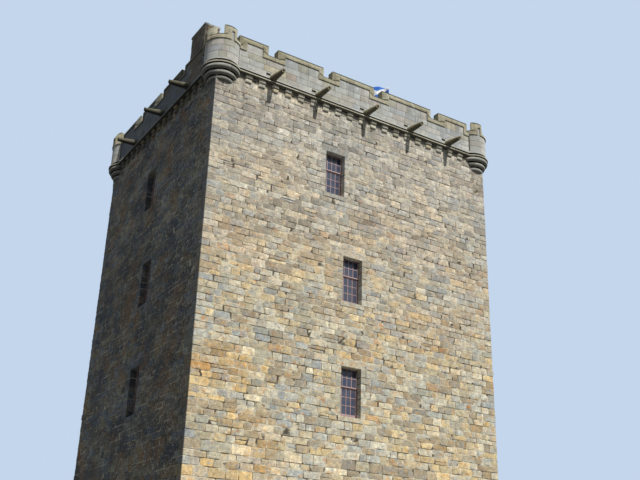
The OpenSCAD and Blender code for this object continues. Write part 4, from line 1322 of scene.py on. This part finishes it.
def laySlates():
    rng = random.Random(slating["seed"])
    bm = newStones()
    pitch = math.radians(garret["pitch"])
    length = slating["run"] / math.cos(pitch)
    halfX = slating["halfX"]
    rows = int(length / slating["show"])
    show = length / rows
    for way in (-1, 1):

        def place(s, t, out, way=way):
            y = slating["eavesY"] - t * math.cos(pitch) + out * math.sin(pitch)
            z = slating["eavesZ"] + t * math.sin(pitch) + out * math.cos(pitch)
            return Vector((-way * s, way * y, z))

        for row in range(rows):
            start = -halfX - (slating["w"] / 2 if row % 2 else 0)
            while start < halfX:
                w = slating["w"] * rng.uniform(*slating["widths"])
                a, b = max(start, -halfX), min(start + w, halfX)
                start += w
                if b - a >= slating["narrowest"]:
                    addSlate(bm, place, a, b, row * show, show, rng)
    makePiece("roof_slates", bm, finish["splitSlate"])

    bm = newStones()
    ridgeZ = slating["eavesZ"] + length * math.sin(pitch)

    def ridgePlace(s, t, out):
        down = abs(t)
        z = ridgeZ - down * math.sin(pitch) + out * math.cos(pitch)
        if down < 1e-6:
            return Vector((s, 0.0, z + slating["ridgeUp"]))
        return Vector((s, math.copysign(down * math.cos(pitch) + out * math.sin(pitch), t), z))

    half, gap, edge = slating["ridgeHalf"], slating["ridgeJoint"], slating["ridgeEdge"]
    for a, b in evenCuts(-halfX, halfX, slating["ridgeL"]):
        columns = gradedLine(a + gap, b - gap, edge, slating["ridgeStep"])
        across = gradedLine(-half, half, edge, slating["acrossStep"], 0.0)
        facts = stoneFacts(rng, a, slating["ridgeZ"], 0.0, "paving")
        rise, rough, sunk = (slating[key] for key in ("ridgeRise", "ridgeRough", "ridgeSunk"))
        layStone(bm, ridgePlace, columns, across, rise, rough, facts, sunk)
    makePiece("ridge_stones", bm, finish["pavingStone"])


layWalk()
layGround()
laySlates()
layBoards()
print("the walk, floors and roof are laid")

# Windows

sashes = {   # the meeting height is over the window's foot
    "frameW": 0.008, "frameSill": 0.06, "frameD": 0.12, "stile": 0.032, "sashT": 0.04, "bead": 0.015,
    "columns": 4, "lowerRows": 3, "upperRows": 2, "bottomRail": 0.12, "meetingRail": 0.05, "topRail": 0.04,
    "meeting": 1.17, "meetingLap": 0.01, "bar": 0.028, "barD": 0.034, "soften": 0.003, "glassT": 0.006,
    "glassIn": 0.01, "railIn": 0.001, "barIn": 0.003, "crossIn": 0.004, "crossOut": 0.002,
    "glassSoften": 0.001,
}


def edgesOf(verts):   # in an order that is the same in every run
    return list(dict.fromkeys(edge for vert in verts for edge in vert.link_edges))


def addStick(bm, turn, low, high, soften):   # a squared length with softened edges, between two corners
    verts = bmesh.ops.create_cube(bm, size=1.0)["verts"]
    bmesh.ops.scale(bm, vec=[b - a for a, b in zip(low, high)], verts=verts)
    bmesh.ops.translate(bm, vec=[(b + a) / 2 for a, b in zip(low, high)], verts=verts)
    bmesh.ops.transform(bm, matrix=turn, verts=verts)
    edges = edgesOf(verts)
    bmesh.ops.bevel(bm, geom=edges, offset=soften, affect="EDGES", segments=1, profile=0.5, material=-1)


def addSash(bm, panes, turn, y, low, high, rails, rows):   # two stiles, two rails, the bars and the glass
    t, soft, bar, deep = (sashes[key] for key in ("sashT", "soften", "bar", "barD"))
    halfW = windowSizes["w"] / 2 - sashes["frameW"]
    w = halfW - sashes["stile"]
    for s in (-1, 1):
        a, b = sorted((s * w, s * halfW))
        addStick(bm, turn, (a, y, low), (b, y + t, high), soft)
    foot, head = low + rails[0], high - rails[1]
    front, back = y + sashes["railIn"], y + t - sashes["railIn"]
    addStick(bm, turn, (-w, front, low), (w, back, foot), soft)
    addStick(bm, turn, (-w, front, head), (w, back, high), soft)
    for x in evenLines(-w, w, sashes["columns"])[1:-1]:
        front = y + sashes["barIn"]
        addStick(bm, turn, (x - bar / 2, front, foot), (x + bar / 2, front + deep, head), soft)
    for z in evenLines(foot, head, rows)[1:-1]:
        front, back = y + sashes["crossIn"], y + sashes["crossOut"] + deep
        addStick(bm, turn, (-w, front, z - bar / 2), (w, back, z + bar / 2), soft)
    into, middle, half = sashes["glassIn"], y + t / 2, sashes["glassT"] / 2
    low, high = (-w - into, middle - half, foot - into), (w + into, middle + half, head + into)
    addStick(panes, turn, low, high, sashes["glassSoften"])


def buildWindows():
    h, reveal, half = windowSizes["h"], windowSizes["reveal"], windowSizes["w"] / 2
    sill, meeting, soft = sashes["frameSill"], sashes["meeting"], sashes["soften"]
    inner, back, front = half - sashes["frameW"], reveal + sashes["frameD"], reveal + sashes["bead"]
    panes = bmesh.new()
    for side in sideTurns:
        bm = bmesh.new()
        for u, z in ofSide(side, windowSizes["spots"]):
            turn = sideFrame(side, u, z)
            for s in (-1, 1):
                a, b = sorted((s * half, s * inner))
                addStick(bm, turn, (a, reveal, 0), (b, back, h), soft)
            addStick(bm, turn, (-inner, reveal, 0), (inner, back, sill), soft)
            rails = (sashes["meetingRail"], sashes["topRail"])
            addSash(bm, panes, turn, front, meeting, h, rails, sashes["upperRows"])
            rails = (sashes["bottomRail"], sashes["meetingRail"])
            top = meeting + sashes["meetingLap"]
            addSash(bm, panes, turn, front + sashes["sashT"], sill, top, rails, sashes["lowerRows"])
        makePiece(side + "_sashes", bm, finish["sashPaint"], side + "_windows")
    makePiece("window_panes", panes, finish["glassSkyReflection"], "window_glass")


buildWindows()
print("the windows are built")

# Doors

plankDoor = {   # heights of the straps are from the foot and down from the spring, the ring's from the foot
    "seed": 61, "planks": 7, "gap": 0.003, "proud": 0.018, "into": 0.004, "soften": 0.004, "strapH": 0.075,
    "strapT": 0.008, "strapSoften": 0.003, "strapFrom": 0.03, "strapTo": 0.10, "lowStrap": 0.35,
    "highStrap": 0.15, "studs": 6, "studR": 0.016, "studIn": 0.18, "ringR": 0.07, "ringT": 0.010,
    "ringIn": 0.16, "ringZ": 1.02, "plateR": 0.026, "ringOut": 0.016, "plateOut": 0.004, "ringSides": 8,
    "ringSteps": 24, "ringReach": 0.012, "headFrom": 0.02,
}
walkDoor = {"w": 0.76, "foot": 20.31, "head": 22.04, "set": 0.15}


def addStud(bm, turn, place, radius):   # a forged nail head, domed
    verts = bmesh.ops.create_icosphere(bm, subdivisions=1, radius=radius)["verts"]
    bmesh.ops.scale(bm, vec=(1, 0.6, 1), verts=verts)
    bmesh.ops.translate(bm, vec=place, verts=verts)
    bmesh.ops.transform(bm, matrix=turn, verts=verts)


def addPlanks(wood, turn, half, foot, spring, arched):
    rng = random.Random(plankDoor["seed"])
    layer = wood.verts.layers.float_color["stone"]
    gap = plankDoor["gap"] / 2
    back = turn.inverted()
    inside = half - plankDoor["into"]
    for a, b in pairs(evenLines(-half, half, plankDoor["planks"])):
        before = set(wood.verts)
        low, high = (a + gap, -plankDoor["proud"], foot), (b - gap, plankDoor["into"], spring)
        addStick(wood, turn, low, high, plankDoor["soften"])
        facts = (rng.random(), 0.5, 0, 0)
        for vert in set(wood.verts) - before:
            vert[layer] = facts
            local = back @ vert.co
            if arched and local.z > spring - plankDoor["headFrom"]:   # the plank's head follows the arch
                rise = math.sqrt(max(0.0, inside ** 2 - min(inside, abs(local.x)) ** 2))
                vert.co = turn @ Vector((local.x, local.y, local.z + rise))


def addRing(iron, turn):
    radius, reach, quarter = plankDoor["ringR"], plankDoor["ringReach"], math.radians(90)
    verts = bmesh.ops.create_circle(iron, segments=plankDoor["ringSides"], radius=plankDoor["ringT"])["verts"]
    geom = verts + edgesOf(verts)
    bmesh.ops.rotate(iron, matrix=Matrix.Rotation(quarter, 3, "X"), verts=verts)
    bmesh.ops.translate(iron, vec=(radius, 0, 0), verts=verts)
    bmesh.ops.spin(iron, geom=geom, axis=(0, 0, 1), cent=(0, 0, 0), steps=plankDoor["ringSteps"],
                   angle=4 * quarter, use_merge=True)
    hoop = [v for v in iron.verts if abs(v.co.xy.length - radius) < reach and abs(v.co.z) < reach]
    bmesh.ops.transform(iron, matrix=turn @ Matrix.Rotation(quarter, 4, "X"), verts=hoop)


def buildDoor(name, turn, w, foot, spring, arched=False):
    wood, iron = newStones(), bmesh.new()
    half = w / 2
    addPlanks(wood, turn, half, foot, spring, arched)
    face = -plankDoor["proud"]
    front = face - plankDoor["strapT"]
    first, last = -half + plankDoor["strapTo"], half - plankDoor["studIn"]
    for z in (foot + plankDoor["lowStrap"], spring - plankDoor["highStrap"]):
        low = (-half + plankDoor["strapFrom"], front, z)
        high = (half - plankDoor["strapTo"], face, z + plankDoor["strapH"])
        addStick(iron, turn, low, high, plankDoor["strapSoften"])
        for x in evenLines(first, last, plankDoor["studs"] - 1):
            addStud(iron, turn, (x, front, z + plankDoor["strapH"] / 2), plankDoor["studR"])
    x, z = half - plankDoor["ringIn"], foot + plankDoor["ringZ"]
    addRing(iron, turn @ Matrix.Translation((x, face - plankDoor["ringOut"], z)))
    addStud(iron, turn, (x, face - plankDoor["plateOut"], z + plankDoor["ringR"]), plankDoor["plateR"])
    bmesh.ops.recalc_face_normals(iron, faces=iron.faces)
    makePiece(name + "_planks", wood, finish["oakPlanks"])
    makePiece(name + "_ironwork", iron, finish["blackIron"])


doorTurn = sideFrame("back", doorSizes["u"], 0.0) @ Matrix.Translation((0, doorSizes["reveal"], 0))
doorSpring = doorSizes["h"] - doorSizes["w"] / 2
buildDoor("door", doorTurn, doorSizes["w"], doorSizes["foot"] + 0.01, doorSpring, True)
walkTurn = Matrix.Rotation(math.radians(90), 4, "Z")
walkTurn @= Matrix.Translation((0, -garret["halfX"] + walkDoor["set"], 0))
buildDoor("walk_door", walkTurn, walkDoor["w"], walkDoor["foot"], walkDoor["head"])
print("the doors are built")

# Flag


def buildFlag():
    bm = bmesh.new()
    uvLayer = bm.loops.layers.uv.new("cloth")
    steps, rows, length = flagCloth["steps"], flagCloth["rows"], flagCloth["length"]
    made = bmesh.ops.create_grid(bm, x_segments=steps, y_segments=rows, size=0.5)
    turn = Matrix.Rotation(math.radians(flagCloth["turn"]), 3, "Z")
    shares, foot = {}, []
    rippleAlong, rippleUp = flagCloth["ripples"]
    for index, vert in enumerate(made["verts"]):
        along, up = index % (steps + 1) / steps, index // (steps + 1) / rows
        sway = flagCloth["wave"] * math.sqrt(along) * math.sin(math.radians(flagCloth["swing"]) * along)
        sway += flagCloth["ripple"] * along * math.sin(rippleAlong * along + rippleUp * up)
        if up == 0:
            foot.append(Vector((length * along, sway)))
        local = Vector((flagCloth["start"] + length * along, sway, 0))
        vert.co = turn @ local + Vector((flagCloth["x"], 0, flagCloth["foot"] + flagCloth["height"] * up))
        shares[vert] = (along, up)
    for face in bm.faces:
        for loop in face.loops:
            loop[uvLayer].uv = shares[loop.vert]
    flag = makePiece("flag_cloth", bm, finish["flagCloth"], "flag", 180)
    thick = flag.modifiers.new("thick", "SOLIDIFY")
    thick.thickness = flagCloth["thick"]
    thick.offset = 0.0
    cut = sum((b - a).length for a, b in pairs(foot))   # the flag's length before the wind bends it
    print("the flag was cut", round(cut, 3), "by", flagCloth["height"])


buildFlag()

# The CAD nodes that stay

for side in sideTurns:
    dress(finish["thinJoints"], side + "_parapet")
    dress(finish["spoutStone"], side + "_spouts")
for corner in corners:
    dress(finish["thinJoints"], corner + "_round")
dress(finish["slabStone"], "chimney_stack")
dress(finish["plainAshlar"], "left_gable", "right_gable")
dress(finish["limeMortar"], "garret_walls", "wall_walk", "ground_floor", "roof")
dress(finish["plainOak"], "plank_door", "walk_door", *floorNames)
dress(finish["staffPaint"], "flagstaff")
